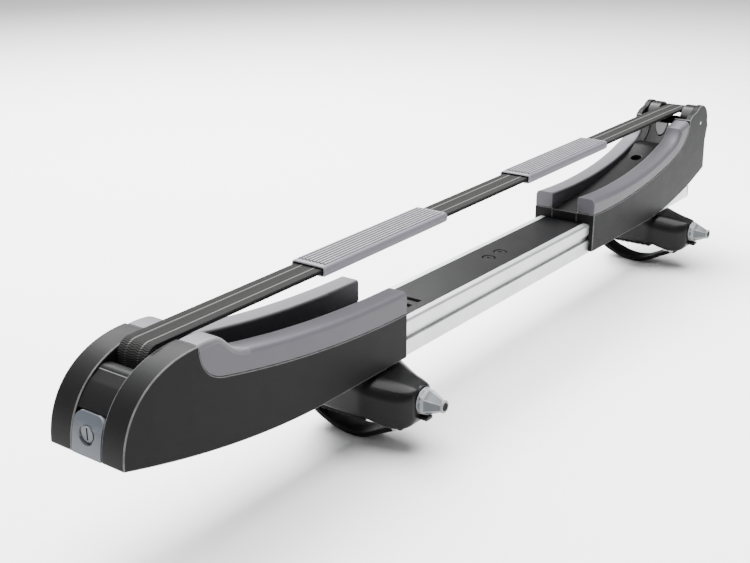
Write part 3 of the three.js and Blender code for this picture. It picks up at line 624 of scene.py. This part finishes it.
def sweep(path, section, across=Vector((0, 1, 0)), began=0.0):
    """Carries a closed section of (across, up) points in millimetres along a path."""
    bm = bmesh.new()
    layer = bm.verts.layers.float.new("along")
    ring = [bm.verts.new((0, y * MM, up * MM)) for y, up in section]
    edges = [bm.edges.new((ring[i], ring[(i + 1) % len(ring)])) for i in range(len(ring))]
    frames = [station(path, i, across) for i in range(len(path))]
    bmesh.ops.transform(bm, matrix=frames[0], verts=ring)
    walked = began
    for vert in ring:
        vert[layer] = walked
    ends = [edges]
    for i in range(1, len(path)):
        grown = bmesh.ops.extrude_edge_only(bm, edges=edges)["geom"]
        ring = [item for item in grown if isinstance(item, bmesh.types.BMVert)]
        edges = [item for item in grown if isinstance(item, bmesh.types.BMEdge)]
        edges = [edge for edge in edges if edge.verts[0] in ring and edge.verts[1] in ring]
        bmesh.ops.transform(bm, matrix=frames[i] @ frames[i - 1].inverted(), verts=ring)
        walked += (path[i] - path[i - 1]).length
        for vert in ring:
            vert[layer] = walked
    ends.append(edges)
    for loop in ends:
        bmesh.ops.contextual_create(bm, geom=loop)
    bmesh.ops.recalc_face_normals(bm, faces=bm.faces[:])
    return bm


def ring_points(half, low, high, radius, steps=4):
    """A rounded box section, counted round from its lower right."""
    found = []
    corners = ((half, low, -90), (half, high, 0), (-half, high, 90), (-half, low, 180))
    for y, z, start in corners:
        centre_y = y - math.copysign(radius, y)
        centre_z = z + radius if z == low else z - radius
        for i in range(steps + 1):
            turn = math.radians(start + 90 * i / steps)
            found.append((centre_y + radius * math.cos(turn), centre_z + radius * math.sin(turn)))
    return found


def merged(meshes):
    """One bmesh that holds several."""
    whole = bmesh.new()
    whole.verts.layers.float.new("along")
    for bm in meshes:
        kept = mesh_of("part", bm)
        whole.from_mesh(kept)
        bpy.data.meshes.remove(kept)
    return whole


def carve(bm, cutters):
    """Cuts closed tool meshes out of a closed mesh."""
    temporary = []
    for name, source in [("body", bm)] + [("tool", cutter) for cutter in cutters]:
        temporary.append(in_scene(name, mesh_of(name, source)))
    body, tools = temporary[0], temporary[1:]
    for tool in tools:
        modifier = body.modifiers.new("cut", "BOOLEAN")
        modifier.operation = "DIFFERENCE"
        modifier.solver = "EXACT"
        modifier.object = tool
    depsgraph = bpy.context.evaluated_depsgraph_get()
    result = bmesh.new()
    result.from_object(body, depsgraph)
    for thing in temporary:
        mesh = thing.data
        bpy.data.objects.remove(thing)
        bpy.data.meshes.remove(mesh)
    return result


def bar(low, high):
    """A plain block between two corners in millimetres, used as a tool or a rib."""
    bm = bmesh.new()
    bmesh.ops.create_cube(bm, size=1.0)
    first, last = at(*low), at(*high)
    bmesh.ops.scale(bm, vec=last - first, verts=bm.verts[:])
    bmesh.ops.translate(bm, vec=(first + last) / 2, verts=bm.verts[:])
    return bm


def rod(radius, start, end, segments=32):
    """A round bar between two points in millimetres."""
    bm = bmesh.new()
    first, last = at(*start), at(*end)
    axis = last - first
    size = {"radius1": radius * MM, "radius2": radius * MM, "depth": axis.length}
    bmesh.ops.create_cone(bm, cap_ends=True, segments=segments, **size)
    turn = axis.to_track_quat("Z", "Y").to_matrix().to_4x4()
    bmesh.ops.transform(bm, matrix=Matrix.Translation((first + last) / 2) @ turn, verts=bm.verts[:])
    return bm


def outward(side, inner, outer):
    """The y range of something between two distances from the centre plane."""
    return (inner, outer) if side > 0 else (-outer, -inner)


def edges_on(bm, outline, y):
    """The mesh edges that run along an outline's points in the plane at y."""
    spots = {tuple(round(c, 5) for c in at(px, y, pz)) for px, pz in outline}
    found = []
    for edge in bm.edges:
        if all(tuple(round(c, 5) for c in vert.co) in spots for vert in edge.verts):
            found.append(edge)
    return found


# ---------- cradles

CHANNEL = 13.0  # half width of the channel between a cradle's sides
HALF = 32.0  # half width of a cradle
NEAR_LENGTH = 283.5
FAR = (FAR_X - NOSE_X) / MM
ROLLER = (52.0, 77.5)
LEVER_PIN = (31.5, 71.0)
YOKE = (FAR + 260.4, 84.0)
PIN_BORE = 2.15
PIN_END = CHANNEL + 8.3  # how far out a blind pin bore goes
EAR_R = 19.8  # round end of the far shell
EAR_TURN = 2.3  # angle at which that round begins
EAR_INNER = 26.2  # from the centre plane to the thin ear beside the yoke's drum
DRUM_ROOM = 20.4
ABOVE = 120  # height above everything, where cutting tools end
PAD_INNER_ROUND = 2.2 * MM
PAD_EDGE = 1.0 * MM


def near_shell_outline():
    outline = bezier((2.5, 30), (2.5, 62), (25, 86), (66.5, 86), 30)
    outline += bezier((66.5, 86), (66.5, 68), (76, 60.5), (91.5, 58), 14)
    outline += bezier((91.5, 58), (150, 45.5), (215, 37.7), (NEAR_LENGTH, 37.7), 20)
    outline += [(NEAR_LENGTH, 37.7), (NEAR_LENGTH, 2)]
    outline += quadratic((180, 2), (95, 4), (2.5, 30), 24)
    return outline


def rail_pocket(x0, x1):
    """The room that the rail takes up inside a cradle."""
    return bar((x0, -27.6, -40), (x1, 27.6, 29.6))


def near_shell(name, side):
    y0, y1 = outward(side, CHANNEL, HALF)
    bm = prism(near_shell_outline(), y0, y1)
    rounded(bm, sharp_edges(bm), sizes().shell_round, 3)
    depth0, depth1 = outward(side, CHANNEL - 1, PIN_END)
    pins = [rod(PIN_BORE, (x, depth0, z), (x, depth1, z), 24) for x, z in (ROLLER, LEVER_PIN)]
    bm = carve(bm, [rail_pocket(183, NEAR_LENGTH + 2)] + pins)
    stand_in("near_cheek_" + name, "near_shell_" + name, bm, "shell_black")


def far_pad_line(rise, steps):
    """The curve between the far shell and its pad, moved into the pad by a gap."""
    middle, top = (FAR + 167, 51.5 + rise), (FAR + 228 - rise, 86)
    line = bezier((FAR, 39 + rise), (FAR + 60, 36.5 + rise), (FAR + 120, 42 + rise), middle, steps)
    line += bezier(middle, (FAR + 200, 58.5 + rise), (FAR + 225 - rise, 66 + rise), top, steps)
    return line


def far_shell_outline():
    outline = far_pad_line(0, 18) + [(FAR + 228, 86), (FAR + 229, 92)]
    outline += quadratic((FAR + 229, 92), (FAR + 234, 97), (FAR + 243, 98), 4)[1:]
    steps = 14
    for i in range(steps + 1):
        turn = EAR_TURN * (1 - i / steps)
        outline.append((YOKE[0] + EAR_R * math.cos(turn), YOKE[1] + EAR_R * math.sin(turn)))
    outline += [(FAR + 282.8, 78), (FAR + 278.4, 61.3), (FAR + 280.6, 29.4), (FAR + 244, 18.4)]
    outline += quadratic((FAR + 244, 18.4), (FAR + 180, 3), (FAR + 137, 2), 12)[1:]
    outline += [(FAR + 137, 2), (FAR, 2)]
    return outline


def far_shell(name, side):
    y0, y1 = outward(side, CHANNEL, HALF)
    bm = prism(far_shell_outline(), y0, y1)
    rounded(bm, sharp_edges(bm), sizes().shell_round, 3)
    inner, ear = outward(side, CHANNEL - 1, EAR_INNER)
    x, z = YOKE
    tools = [
        rail_pocket(FAR - 1, FAR + 254.9),
        rod(DRUM_ROOM, (x, inner, z), (x, ear, z), 64),
        bar((x - DRUM_ROOM, inner, z + 4), (x + 40, ear, ABOVE)),
        bar((x, inner, z - 2), (x + 40, ear, ABOVE)),
        bar((FAR + 229.5, inner, 88), (x, ear, ABOVE)),
        rod(PIN_BORE, (x, inner, z), (x, side * (HALF + 1), z), 24),
    ]
    stand_in("far_cheek_" + name, "far_shell_" + name, carve(bm, tools), "shell_black")


def near_pad_outline():
    lower = bezier((66.8, 86), (66.8, 68.3), (76, 60.8), (91.5, 58.3), 14)
    end = (NEAR_LENGTH, 38)
    lower += bezier((91.5, 58.3), (150, 45.8), (215, 38), end, 20) + [end]
    upper = bezier((NEAR_LENGTH, 55), (205, 55), (150, 62.5), (112, 69), 18)
    upper += bezier((112, 69), (93, 72), (94, 82), (84, 85.5), 12)
    upper += quadratic((84, 85.5), (75, 87), (66.8, 86), 6) + [lower[0]]
    return lower, upper


def far_pad_outline():
    lower = far_pad_line(0.3, 18) + [(FAR + 227.7, 86), (FAR + 227.7, 91)]
    upper = [(FAR + 227.7, 91)]
    upper += bezier((FAR + 206, 87), (FAR + 203, 72), (FAR + 185, 71), (FAR + 170, 66.5), 12)
    end = (FAR, 54.5)
    upper += bezier((FAR + 170, 66.5), (FAR + 130, 55), (FAR + 60, 50), end, 18) + [end]
    return lower, upper


def pad(end, name, side, lower, upper):
    """A moulded pad: a broad round on its outer shoulder and a small one inside."""
    inner, outer = side * (CHANNEL + 0.5), side * (HALF - 0.35)
    outline = lower + [point for point in upper if point not in lower]
    bm = prism(outline, min(inner, outer), max(inner, outer))
    rounded(bm, edges_on(bm, upper, outer), sizes().pad_round, 6)
    rounded(bm, edges_on(bm, upper, inner), PAD_INNER_ROUND, 4)
    rounded(bm, sharp_edges(bm, 50), PAD_EDGE, 3)
    node, piece = "%s_pad_%s" % (end, name), "%s_cushion_%s" % (end, name)
    stand_in(node, piece, bm, "pad_grey", degrees=40)


class CARRIER_OT_shells(bpy.types.Operator):
    """Build the moulded side shells of both cradles"""

    bl_idname = "carrier.shells"
    bl_label = "Cradle shells"

    def execute(self, context):
        for name, side in SIDES:
            near_shell(name, side)
            far_shell(name, side)
        return {"FINISHED"}


class CARRIER_OT_pads(bpy.types.Operator):
    """Build the grey pads that the board lies on"""

    bl_idname = "carrier.pads"
    bl_label = "Pads"

    def execute(self, context):
        for name, side in SIDES:
            pad("near", name, side, *near_pad_outline())
            pad("far", name, side, *far_pad_outline())
        return {"FINISHED"}


# ---------- strap

BAR = (FAR + 269.0, 95.7)
WEBBING_HALF = 12.5
LAYER = 1.4  # thickness of one layer of webbing
PLY = 0.78  # from the strap's middle to the middle of a layer
STRAP_R = 8.8  # radius of the strap's middle round the roller
STRAP_TOP_Z = ROLLER[1] + STRAP_R
STRAP_END_Z = 98.5
SPLICE_X = FAR + 222.4  # where the sewn end loop begins
REJOIN_X = 845.0  # where the loop's lower layer comes back to the upper one
TAIL = (58.0, 40.0)


def strap_z(x):
    """Height of the straight strap's middle."""
    return STRAP_TOP_Z + (x - ROLLER[0]) * (STRAP_END_Z - STRAP_TOP_Z) / (BAR[0] - ROLLER[0])


def webbing_section(middle):
    """One layer of webbing: thin, with soft thick edges."""
    return ring_points(WEBBING_HALF, middle - LAYER / 2, middle + LAYER / 2, 0.6, 3)


def arc(centre, radius, start, turned, steps):
    """Points in the centre plane, clockwise round a centre through an angle."""
    turns = [start - i * turned / steps for i in range(steps + 1)]
    x, z = centre
    return [at(x + radius * math.cos(turn), 0, z + radius * math.sin(turn)) for turn in turns]


def strap_path():
    """Up from the spare roll, round the roller and straight to the end loop."""
    path = [at(ROLLER[0] - STRAP_R, 0, TAIL[1] + 4 + i * 3.35) for i in range(10)]
    path += arc(ROLLER, STRAP_R, math.pi, math.pi / 2, 12)
    steps = 90
    for i in range(1, steps + 1):
        x = ROLLER[0] + (SPLICE_X - ROLLER[0]) * i / steps
        path.append(at(x, 0, strap_z(x)))
    return path


def strap():
    path = strap_path()
    bm = merged([sweep(path, webbing_section(middle)) for middle in (PLY, -PLY)])
    piece = add_piece("strap_webbing", bm, "webbing", None, ["strap"], degrees=60)
    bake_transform(piece)


def loop_path():
    """Out along the top, round the yoke's bar and back beneath."""
    radius, start, steps = 3.5, SPLICE_X + 0.3, 16
    step = (BAR[0] - SPLICE_X) / steps
    path = [at(start + i * step, 0, strap_z(SPLICE_X) + PLY) for i in range(steps)]
    path += arc(BAR, radius, math.pi / 2, math.pi, 12)
    below, dip = (BAR[0], BAR[1] - radius), (BAR[0] - 9, BAR[1] - radius)
    rise = (BAR[0] - 10, strap_z(REJOIN_X + 5) - PLY)
    back = bezier(below, dip, rise, (REJOIN_X, strap_z(REJOIN_X) - PLY), 10)
    path += [at(x, 0, z) for x, z in back[1:]]
    path += [at(x, 0, strap_z(x) - PLY) for x in [REJOIN_X - 6 * i for i in range(4)] + [start]]
    return path


def strap_end():
    bm = sweep(loop_path(), webbing_section(0), began=0.8)
    piece = add_piece("strap_loop", bm, "webbing", None, ["strap_end_loop"], degrees=60)
    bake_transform(piece)


def tail_roll():
    """The spare webbing, wound on itself."""
    path = []
    turns, steps, inner, outer = 4.6, 130, 3.3, 10.3
    for i in range(steps + 1):
        share = i / steps
        turn = share * turns * 2 * math.pi
        radius = inner + (outer - inner) * share
        path.append(at(TAIL[0] + radius * math.cos(turn), 0, TAIL[1] + radius * math.sin(turn)))
    bm = sweep(path, webbing_section(0))
    add_piece("strap_tail", bm, "webbing", "base", ["strap_tail_roll"], degrees=60)


class CARRIER_OT_webbing(bpy.types.Operator):
    """Build the strap, its sewn end loop and the rolled spare length"""

    bl_idname = "carrier.webbing"
    bl_label = "Webbing"

    def execute(self, context):
        strap()
        strap_end()
        tail_roll()
        return {"FINISHED"}


SLEEVE_HALF = 15.4
SLEEVE_THICK = 4.0  # from the strap's middle to the sleeve's face
RIB_SPAN = 11.2  # from the centre plane to the middle of the outermost rib
RIB_SHARE = 0.29  # a rib's half width in its pitch


def sleeve_tube(x0, x1):
    """The smooth tube, with round rims and the slot for the strap."""
    ends = [at(x, 0, strap_z(x)) for x in (x0, x1)]
    tube = sweep(ends, ring_points(SLEEVE_HALF, -SLEEVE_THICK, SLEEVE_THICK, 3.2, 6))
    rims = [face for face in tube.faces if len(face.verts) > 8]
    rounded(tube, {edge for face in rims for edge in face.edges}, 1.1 * MM, 3)
    hole_ends = [at(x, 0, strap_z(x)) for x in (x0 - 3, x1 + 3)]
    return carve(tube, [sweep(hole_ends, ring_points(13.6, -2.7, 2.7, 0.8, 3))])


def sleeve(node):
    """A rubber tube with lengthwise ribs on its top and underside."""
    low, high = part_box(node)
    x0, x1 = (low[0] - NOSE_X) / MM, (high[0] - NOSE_X) / MM
    tube = sleeve_tube(x0, x1)
    count = sizes().sleeve_ribs
    pitch = 2 * RIB_SPAN / (count - 1)
    rise = sizes().rib_height / MM
    level = SLEEVE_THICK - 0.3
    ribs = []
    for i in range(count):
        y = -RIB_SPAN + pitch * i
        for top in (1, -1):
            spots = (x0 + 4, x0 + 5.5, x1 - 5.5, x1 - 4)
            line = [at(x, y, strap_z(x) + top * level) for x in spots]
            ribs.append(sweep(line, ring_points(pitch * RIB_SHARE, -rise, rise, 0.6, 3)))
    stand_in(node, node + "_ribbed", merged([tube] + ribs), "sleeve_grey", degrees=45)


class CARRIER_OT_sleeves(bpy.types.Operator):
    """Build the ribbed rubber sleeves on the strap"""

    bl_idname = "carrier.sleeves"
    bl_label = "Strap sleeves"

    def execute(self, context):
        sleeve("near_sleeve")
        sleeve("far_sleeve")
        return {"FINISHED"}


# ---------- feet

KNOB_Y = -62.0  # broad end of the knob
KNOB_Z = -17.0
KNOB_LONG = 19.0
KNOB_WIDE = 10.5
BAND_HALF = 10.5
BAND_THICK = 2.0  # half the band's thickness
BAND_MARGIN = 1.4  # plain edge beside the ridges
EYES = ((31, -25, 2.35), (-47, -37.5, 2.7))  # y, z and bore of the band's two eyes
EYE_R = 4.6
BOLT_BORE = 3.35
FACET_START = 1.0  # height on the knob at which the flats begin


def foot_x(end):
    """x of a foot's middle in millimetres."""
    low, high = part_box("saddle_pad_" + end)
    return ((low[0] + high[0]) / 2 - NOSE_X) / MM


# y, top, ridge half width, shoulder height, side half width, bottom, corner radius
HOUSING_STATIONS = (
    (38, -7, 19, -12, 21, -25, 3),
    (36.5, -3, 22, -9, 25, -29.5, 4),
    (30, -0.5, 24, -6.5, 28, -31, 4.5),
    (8, -0.3, 25, -6.5, 30, -31, 4.5),
    (-18, -0.3, 24.5, -6.5, 30, -31, 4.5),
    (-28, -0.8, 19.5, -8.5, 29, -31.8, 6),
    (-38, -2.3, 15, -10.8, 25, -35.6, 6),
    (-46, -3.7, 13, -12.4, 21.4, -37.8, 6),
    (-53, -4.9, 11.8, -12.8, 18.2, -37.6, 5.8),
    (-58, -5.8, 10.6, -13.4, 14.8, -35.2, 4.8),
    (-60.6, -6.8, 9.2, -14, 12, -31.5, 3.8),
    (-61.4, -8.4, 7.8, -14.4, 10, -28.5, 2.8),
)


def between(stations, steps):
    """Stations filled in smoothly, each on a curve through its neighbours."""
    filled = []
    for i in range(len(stations) - 1):
        rows = [stations[min(max(k, 0), len(stations) - 1)] for k in (i - 1, i, i + 1, i + 2)]
        for t in (k / steps for k in range(steps)):
            weights = (
                -0.5 * t + t**2 - 0.5 * t**3,
                1 - 2.5 * t**2 + 1.5 * t**3,
                0.5 * t + 2 * t**2 - 1.5 * t**3,
                -0.5 * t**2 + 0.5 * t**3,
            )
            columns = zip(*rows)
            filled.append([sum(w * v for w, v in zip(weights, column)) for column in columns])
    return filled + [stations[-1]]


def round_polygon(points, radius, steps=5):
    """A closed polygon with its corners rounded."""
    rounded_points = []
    for i, corner in enumerate(points):
        corner = Vector(corner)
        before, after = Vector(points[i - 1]), Vector(points[(i + 1) % len(points)])
        start = corner + (before - corner).normalized() * radius
        end = corner + (after - corner).normalized() * radius
        rounded_points += quadratic(start, corner, end, steps) + [tuple(end)]
    return rounded_points


def housing_ring(bm, x, y, top, ridge, shoulder, side, bottom, radius):
    """One closed section of the housing across X at a given y."""
    right = [(ridge, top), (side, shoulder), (side, bottom)]
    points = right + [(-px, pz) for px, pz in reversed(right)]
    ring = [bm.verts.new(at(x + px, y, pz)) for px, pz in round_polygon(points, radius)]
    return [bm.edges.new((ring[i - 1], ring[i])) for i in range(len(ring))]


def loft(bm, rings):
    """Joins rings of edges into one closed skin."""
    for first, second in zip(rings, rings[1:]):
        bmesh.ops.bridge_loops(bm, edges=first + second)
    for ring in (rings[0], rings[-1]):
        bmesh.ops.contextual_create(bm, geom=ring)
    bmesh.ops.recalc_face_normals(bm, faces=bm.faces[:])


def housing(end):
    """The foot's body: broad under the rail, drawn in to a ridge at the knob."""
    x = foot_x(end)
    bm = bmesh.new()
    loft(bm, [housing_ring(bm, x, *numbers) for numbers in between(HOUSING_STATIONS, 4)])
    bolt_bore = (BOLT_BORE, (x, -80, KNOB_Z), (x, -17, KNOB_Z), 32)
    hook_room = ((x - 17.1, -50.5, -50), (x + 17.1, -26.7, -10.2))
    band_room = ((x - 11.3, 22, -50), (x + 11.3, 45, -16))
    pin_y, pin_z = EYES[0][:2]
    tools = [
        bar(*hook_room),
        rod(*bolt_bore),
        bar(*band_room),
        rod(PIN_BORE, (x - 40, pin_y, pin_z), (x + 40, pin_y, pin_z), 24),
        rod(3.3, (x, 0, -40), (x, 0, 5), 24),
        rod(6.5, (x, 0, -40), (x, 0, -24), 32),
    ]
    collar = rod(11.0, (x, -54.5, KNOB_Z), (x, KNOB_Y + 0.4, KNOB_Z), 48)
    rounded(collar, sharp_edges(collar), 0.8 * MM, 3)
    collar = carve(collar, [rod(*bolt_bore)])
    node = "foot_housing_" + end
    whole = merged([carve(bm, tools), collar])
    stand_in(node, node + "_fine", whole, "housing_black", degrees=38)
    catch = bar((x - 4, -68, -31.4), (x + 4, -60, -28.4))
    rounded(catch, sharp_edges(catch), 0.8 * MM, 3)
    add_piece("knob_catch_" + end, catch, "housing_black", "base")


def faceted(vert, count):
    """Moves a vertex of the turned knob in to the flat of its facet, more towards the tip."""
    height = vert.co.z / MM
    reach = math.hypot(vert.co.x, vert.co.y) / MM
    if not FACET_START < height < KNOB_LONG - 1.6 or reach < 1:
        return
    pitch = 2 * math.pi / count
    turn = (math.atan2(vert.co.y, vert.co.x) + pitch / 2) % pitch - pitch / 2
    depth = 0.97 - 0.11 * min(1.0, (height - FACET_START) / 6)
    share = min(1.0, depth / math.cos(turn))
    vert.co.x *= share
    vert.co.y *= share


def turned_knob():
    """The knob's body of revolution about Z, with points to spare along its long slopes."""
    profile = [(0, 0), (9.8, 0), (10.3, 0.4), (KNOB_WIDE, 1.2), (KNOB_WIDE, 4.0), (9.9, 5.6)]
    profile += [(7.4, 11.4), (4.6, 17.0), (4.5, 17.4), (4.9, 17.7), (4.9, 18.7)]
    profile += [(4.6, KNOB_LONG), (0, KNOB_LONG)]
    bm = bmesh.new()
    verts = [bm.verts.new((radius * MM, 0, height * MM)) for radius, height in profile]
    edges = [bm.edges.new(pair) for pair in zip(verts, verts[1:])]
    slopes = [edge for edge in edges if edge.verts[0].co.z > 0 and edge.verts[1].co.x > 0]
    slopes = [edge for edge in slopes if edge.calc_length() > 2 * MM]
    bmesh.ops.subdivide_edges(bm, edges=slopes, cuts=3)
    line = bm.verts[:] + bm.edges[:]
    axis = {"cent": (0, 0, 0), "axis": (0, 0, 1)}
    bmesh.ops.spin(bm, geom=line, angle=2 * math.pi, steps=96, use_merge=True, **axis)
    bmesh.ops.remove_doubles(bm, verts=bm.verts[:], dist=0.001 * MM)
    return bm


def knob(end):
    """A tapered hand knob with flat facets, a flared tip and a small end button."""
    x = foot_x(end)
    bm = turned_knob()
    for vert in bm.verts:
        faceted(vert, sizes().knob_facets)
    bmesh.ops.recalc_face_normals(bm, faces=bm.faces[:])
    turn = Matrix.Rotation(math.pi / 2, 4, "X")
    placed = Matrix.Translation(at(x, KNOB_Y, KNOB_Z)) @ turn
    bmesh.ops.transform(bm, matrix=placed, verts=bm.verts[:])
    node = "knob_" + end
    stand_in(node, node + "_fine", bm, "knob_grey", degrees=30)
    button = rod(3.2, (x, KNOB_Y - 18.4, KNOB_Z), (x, KNOB_Y - 19.5, KNOB_Z), 32)
    rounded(button, sharp_edges(button), 0.4 * MM, 2)
    add_piece("knob_button_" + end, button, "rubber_black", body_of_node(node))


def band_section():
    """A flat band with lengthwise ridges on its outer face."""
    count, chamfer, groove = sizes().band_ridges, 0.6, 0.8
    half, thick = BAND_HALF, BAND_THICK
    points = [(half, thick - chamfer), (half - chamfer, thick)]
    points += [(-half + chamfer, thick), (-half, thick - chamfer)]
    points += [(-half, -thick + chamfer), (-half + chamfer, -thick)]
    pitch = 2 * (half - BAND_MARGIN) / count
    for i in range(count):
        left = -half + BAND_MARGIN + pitch * i
        sunk = -thick + groove
        points += [(left, -thick), (left + pitch * 0.25, sunk), (left + pitch * 0.75, sunk)]
    points += [(half - BAND_MARGIN, -thick), (half - chamfer, -thick), (half, -thick + chamfer)]
    return points


def band_path(x):
    """Down from the hinge pin, under the load bar and up to the hook."""
    knots = [(33.6, -27), (37, -36), (34, -45.5), (21, -52.5)]
    knots += [(4, -57), (-13, -56), (-30, -48), (-45, -40.5)]
    return [at(x, y, z) for y, z in between(knots, 8)]


def band(end):
    x = foot_x(end)
    strip = sweep(band_path(x), band_section(), across=Vector((1, 0, 0)))
    bores = [rod(bore, (x - 12, y, z), (x + 12, y, z), 32) for y, z, bore in EYES]
    eyes = [rod(EYE_R, (x - BAND_HALF, y, z), (x + BAND_HALF, y, z), 40) for y, z, _ in EYES]
    for eye in eyes:
        rounded(eye, sharp_edges(eye), 0.6 * MM, 2)
    node = "band_" + end
    bored = [carve(bm, [tool.copy() for tool in bores]) for bm in [strip] + eyes]
    for tool in bores:
        tool.free()
    stand_in(node, node + "_ridged", merged(bored), "rubber_black", degrees=30)


def saddle(end):
    """The rubber pad between the foot and the load bar, with grooves across it."""
    x = foot_x(end)
    bm = bar((x - 27, -27, -34), (x + 27, 20, -31.3))
    rounded(bm, sharp_edges(bm), 0.7 * MM, 3)
    lines = range(-22, 18, 6)
    grooves = [bar((x - 30, y - 0.8, -35), (x + 30, y + 0.8, -33.1)) for y in lines]
    node = "saddle_pad_" + end
    stand_in(node, node + "_grooved", carve(bm, grooves), "rubber_black", degrees=30)


class CARRIER_OT_feet(bpy.types.Operator):
    """Build both feet: housing, knob, band and saddle"""

    bl_idname = "carrier.feet"
    bl_label = "Feet"

    def execute(self, context):
        for end in FEET:
            housing(end)
            knob(end)
            band(end)
            saddle(end)
        return {"FINISHED"}


# ---------- rail, nose and hardware


class CARRIER_OT_rail(bpy.types.Operator):
    """Finish the extruded rail, its cover strip and end cap"""

    bl_idname = "carrier.rail"
    bl_label = "Rail"

    def execute(self, context):
        refine("base_rail", "rail_silver", 0.3 * MM)
        refine("rail_cover_strip", "housing_black", 0.35 * MM)
        refine("rail_end_cap", "rubber_black", 0.4 * MM)
        for name, _ in SIDES:
            refine("slide_liner_" + name, "housing_black", 0.3 * MM)
        return {"FINISHED"}


class CARRIER_OT_nose(bpy.types.Operator):
    """Finish the cam lever, the lock, the roller and both channel floors"""

    bl_idname = "carrier.nose"
    bl_label = "Nose and lock"

    def execute(self, context):
        refine("near_chassis", "shell_black", 0.5 * MM)
        refine("far_chassis", "shell_black", 0.5 * MM)
        refine("cam_lever", "shell_black", 0.35 * MM)
        refine("lock_plate", "lock_grey", 0.5 * MM)
        refine("lock_barrel", "lock_grey", 0.2 * MM)
        refine("guide_roller", "housing_black", 0.4 * MM)
        refine("strap_yoke", "housing_black", 0.8 * MM)
        return {"FINISHED"}


HARDWARE = ("screw", "pin", "bolt", "nut", "hook", "t_bar", "tongue")


class CARRIER_OT_hardware(bpy.types.Operator):
    """Finish the screws, pins, bolts and hooks"""

    bl_idname = "carrier.hardware"
    bl_label = "Hardware"

    def execute(self, context):
        for node in sorted(frame["nodes"]):
            if any(word in node for word in HARDWARE):
                slot = "housing_black" if node.startswith("strip_screw") else "steel"
                refine(node, slot, 0.2 * MM)
        return {"FINISHED"}


# ---------- stage

FLOOR_HALF = 6.0
FLOOR_GREY = 0.93
LENS = 54.9
EYE = (-374.4, -484.0, 351.8)
LOOK_DOWN = 19.87  # degrees below level
LOOK_ROUND = -53.77  # degrees round Z from looking along Y
SKY = 0.35
LIGHTS = {  # where, target, size and power
    "top_soft": ((0.3, 0.3, 1.9), (0.3, 0.1, 0), (2.6, 2.0), 210),
    "back_soft": ((0.9, 1.3, 1.6), (-0.1, 0, 0.1), (1.6, 1.0), 130),
}


def area_light(name, where, target, size, power):
    """A soft rectangular light, aimed at a target."""
    data = bpy.data.lights.new(name, "AREA")
    data.shape = "RECTANGLE"
    data.size, data.size_y = size
    data.energy = power
    lamp = in_scene(name, data)
    lamp.location = where
    lamp.rotation_euler = (Vector(target) - Vector(where)).to_track_quat("-Z", "Y").to_euler()


def floor():
    bm = bmesh.new()
    bmesh.ops.create_grid(bm, x_segments=1, y_segments=1, size=FLOOR_HALF)
    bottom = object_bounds()[0][2]
    bmesh.ops.translate(bm, vec=(0.3, 0, bottom - 0.5 * MM), verts=bm.verts[:])
    mesh = mesh_of("floor", bm)
    ground = in_scene("floor", mesh)
    material = bpy.data.materials.new("floor")
    material.use_nodes = True
    shader = material.node_tree.nodes["Principled BSDF"]
    shader.inputs["Base Color"].default_value = rgba((FLOOR_GREY,) * 3)
    shader.inputs["Roughness"].default_value = 0.9
    mesh.materials.append(material)
    ground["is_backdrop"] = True


def camera():
    data = bpy.data.cameras.new("camera")
    data.sensor_width = 36
    data.lens = LENS
    lens = in_scene("camera", data)
    lens.location = at(*EYE)
    lens.rotation_euler = (math.radians(90 - LOOK_DOWN), 0, math.radians(LOOK_ROUND))
    bpy.context.scene.camera = lens


class CARRIER_OT_stage(bpy.types.Operator):
    """Set the floor, the soft studio lights, the sky and the camera"""

    bl_idname = "carrier.stage"
    bl_label = "Stage"

    def execute(self, context):
        floor()
        camera()
        world = bpy.data.worlds.new("studio")
        world.use_nodes = True
        sky = world.node_tree.nodes["Background"]
        sky.inputs["Color"].default_value = (1, 1, 1, 1)
        sky.inputs["Strength"].default_value = SKY
        context.scene.world = world
        for name, settings in LIGHTS.items():
            area_light(name, *settings)
        return {"FINISHED"}


# ---------- panel and start

STEPS = (
    CARRIER_OT_shells,
    CARRIER_OT_pads,
    CARRIER_OT_webbing,
    CARRIER_OT_sleeves,
    CARRIER_OT_rail,
    CARRIER_OT_nose,
    CARRIER_OT_feet,
    CARRIER_OT_hardware,
    CARRIER_OT_stage,
)


class CARRIER_PT_panel(bpy.types.Panel):
    """The carrier's sizes, colours and build steps"""

    bl_label = "Roof board carrier"
    bl_space_type = "VIEW_3D"
    bl_region_type = "UI"
    bl_category = "Carrier"

    def draw(self, context):
        for group in (context.scene.carrier_sizes, context.scene.carrier_colours):
            for name in group.__annotations__:
                self.layout.prop(group, name)
        for step in STEPS:
            self.layout.operator(step.bl_idname)


CLASSES = (CarrierSizes, CarrierColours) + STEPS + (CARRIER_PT_panel,)


def register():
    for item in CLASSES:
        bpy.utils.register_class(item)
    bpy.types.Scene.carrier_sizes = bpy.props.PointerProperty(type=CarrierSizes)
    bpy.types.Scene.carrier_colours = bpy.props.PointerProperty(type=CarrierColours)


def unregister():
    del bpy.types.Scene.carrier_colours
    del bpy.types.Scene.carrier_sizes
    for item in reversed(CLASSES):
        bpy.utils.unregister_class(item)


def main():
    register()
    for make in (grain_group, edge_group, drawn_group):
        make()
    for step in STEPS:
        group, action = step.bl_idname.split(".")
        getattr(getattr(bpy.ops, group), action)()


if __name__ == "__main__":
    main()
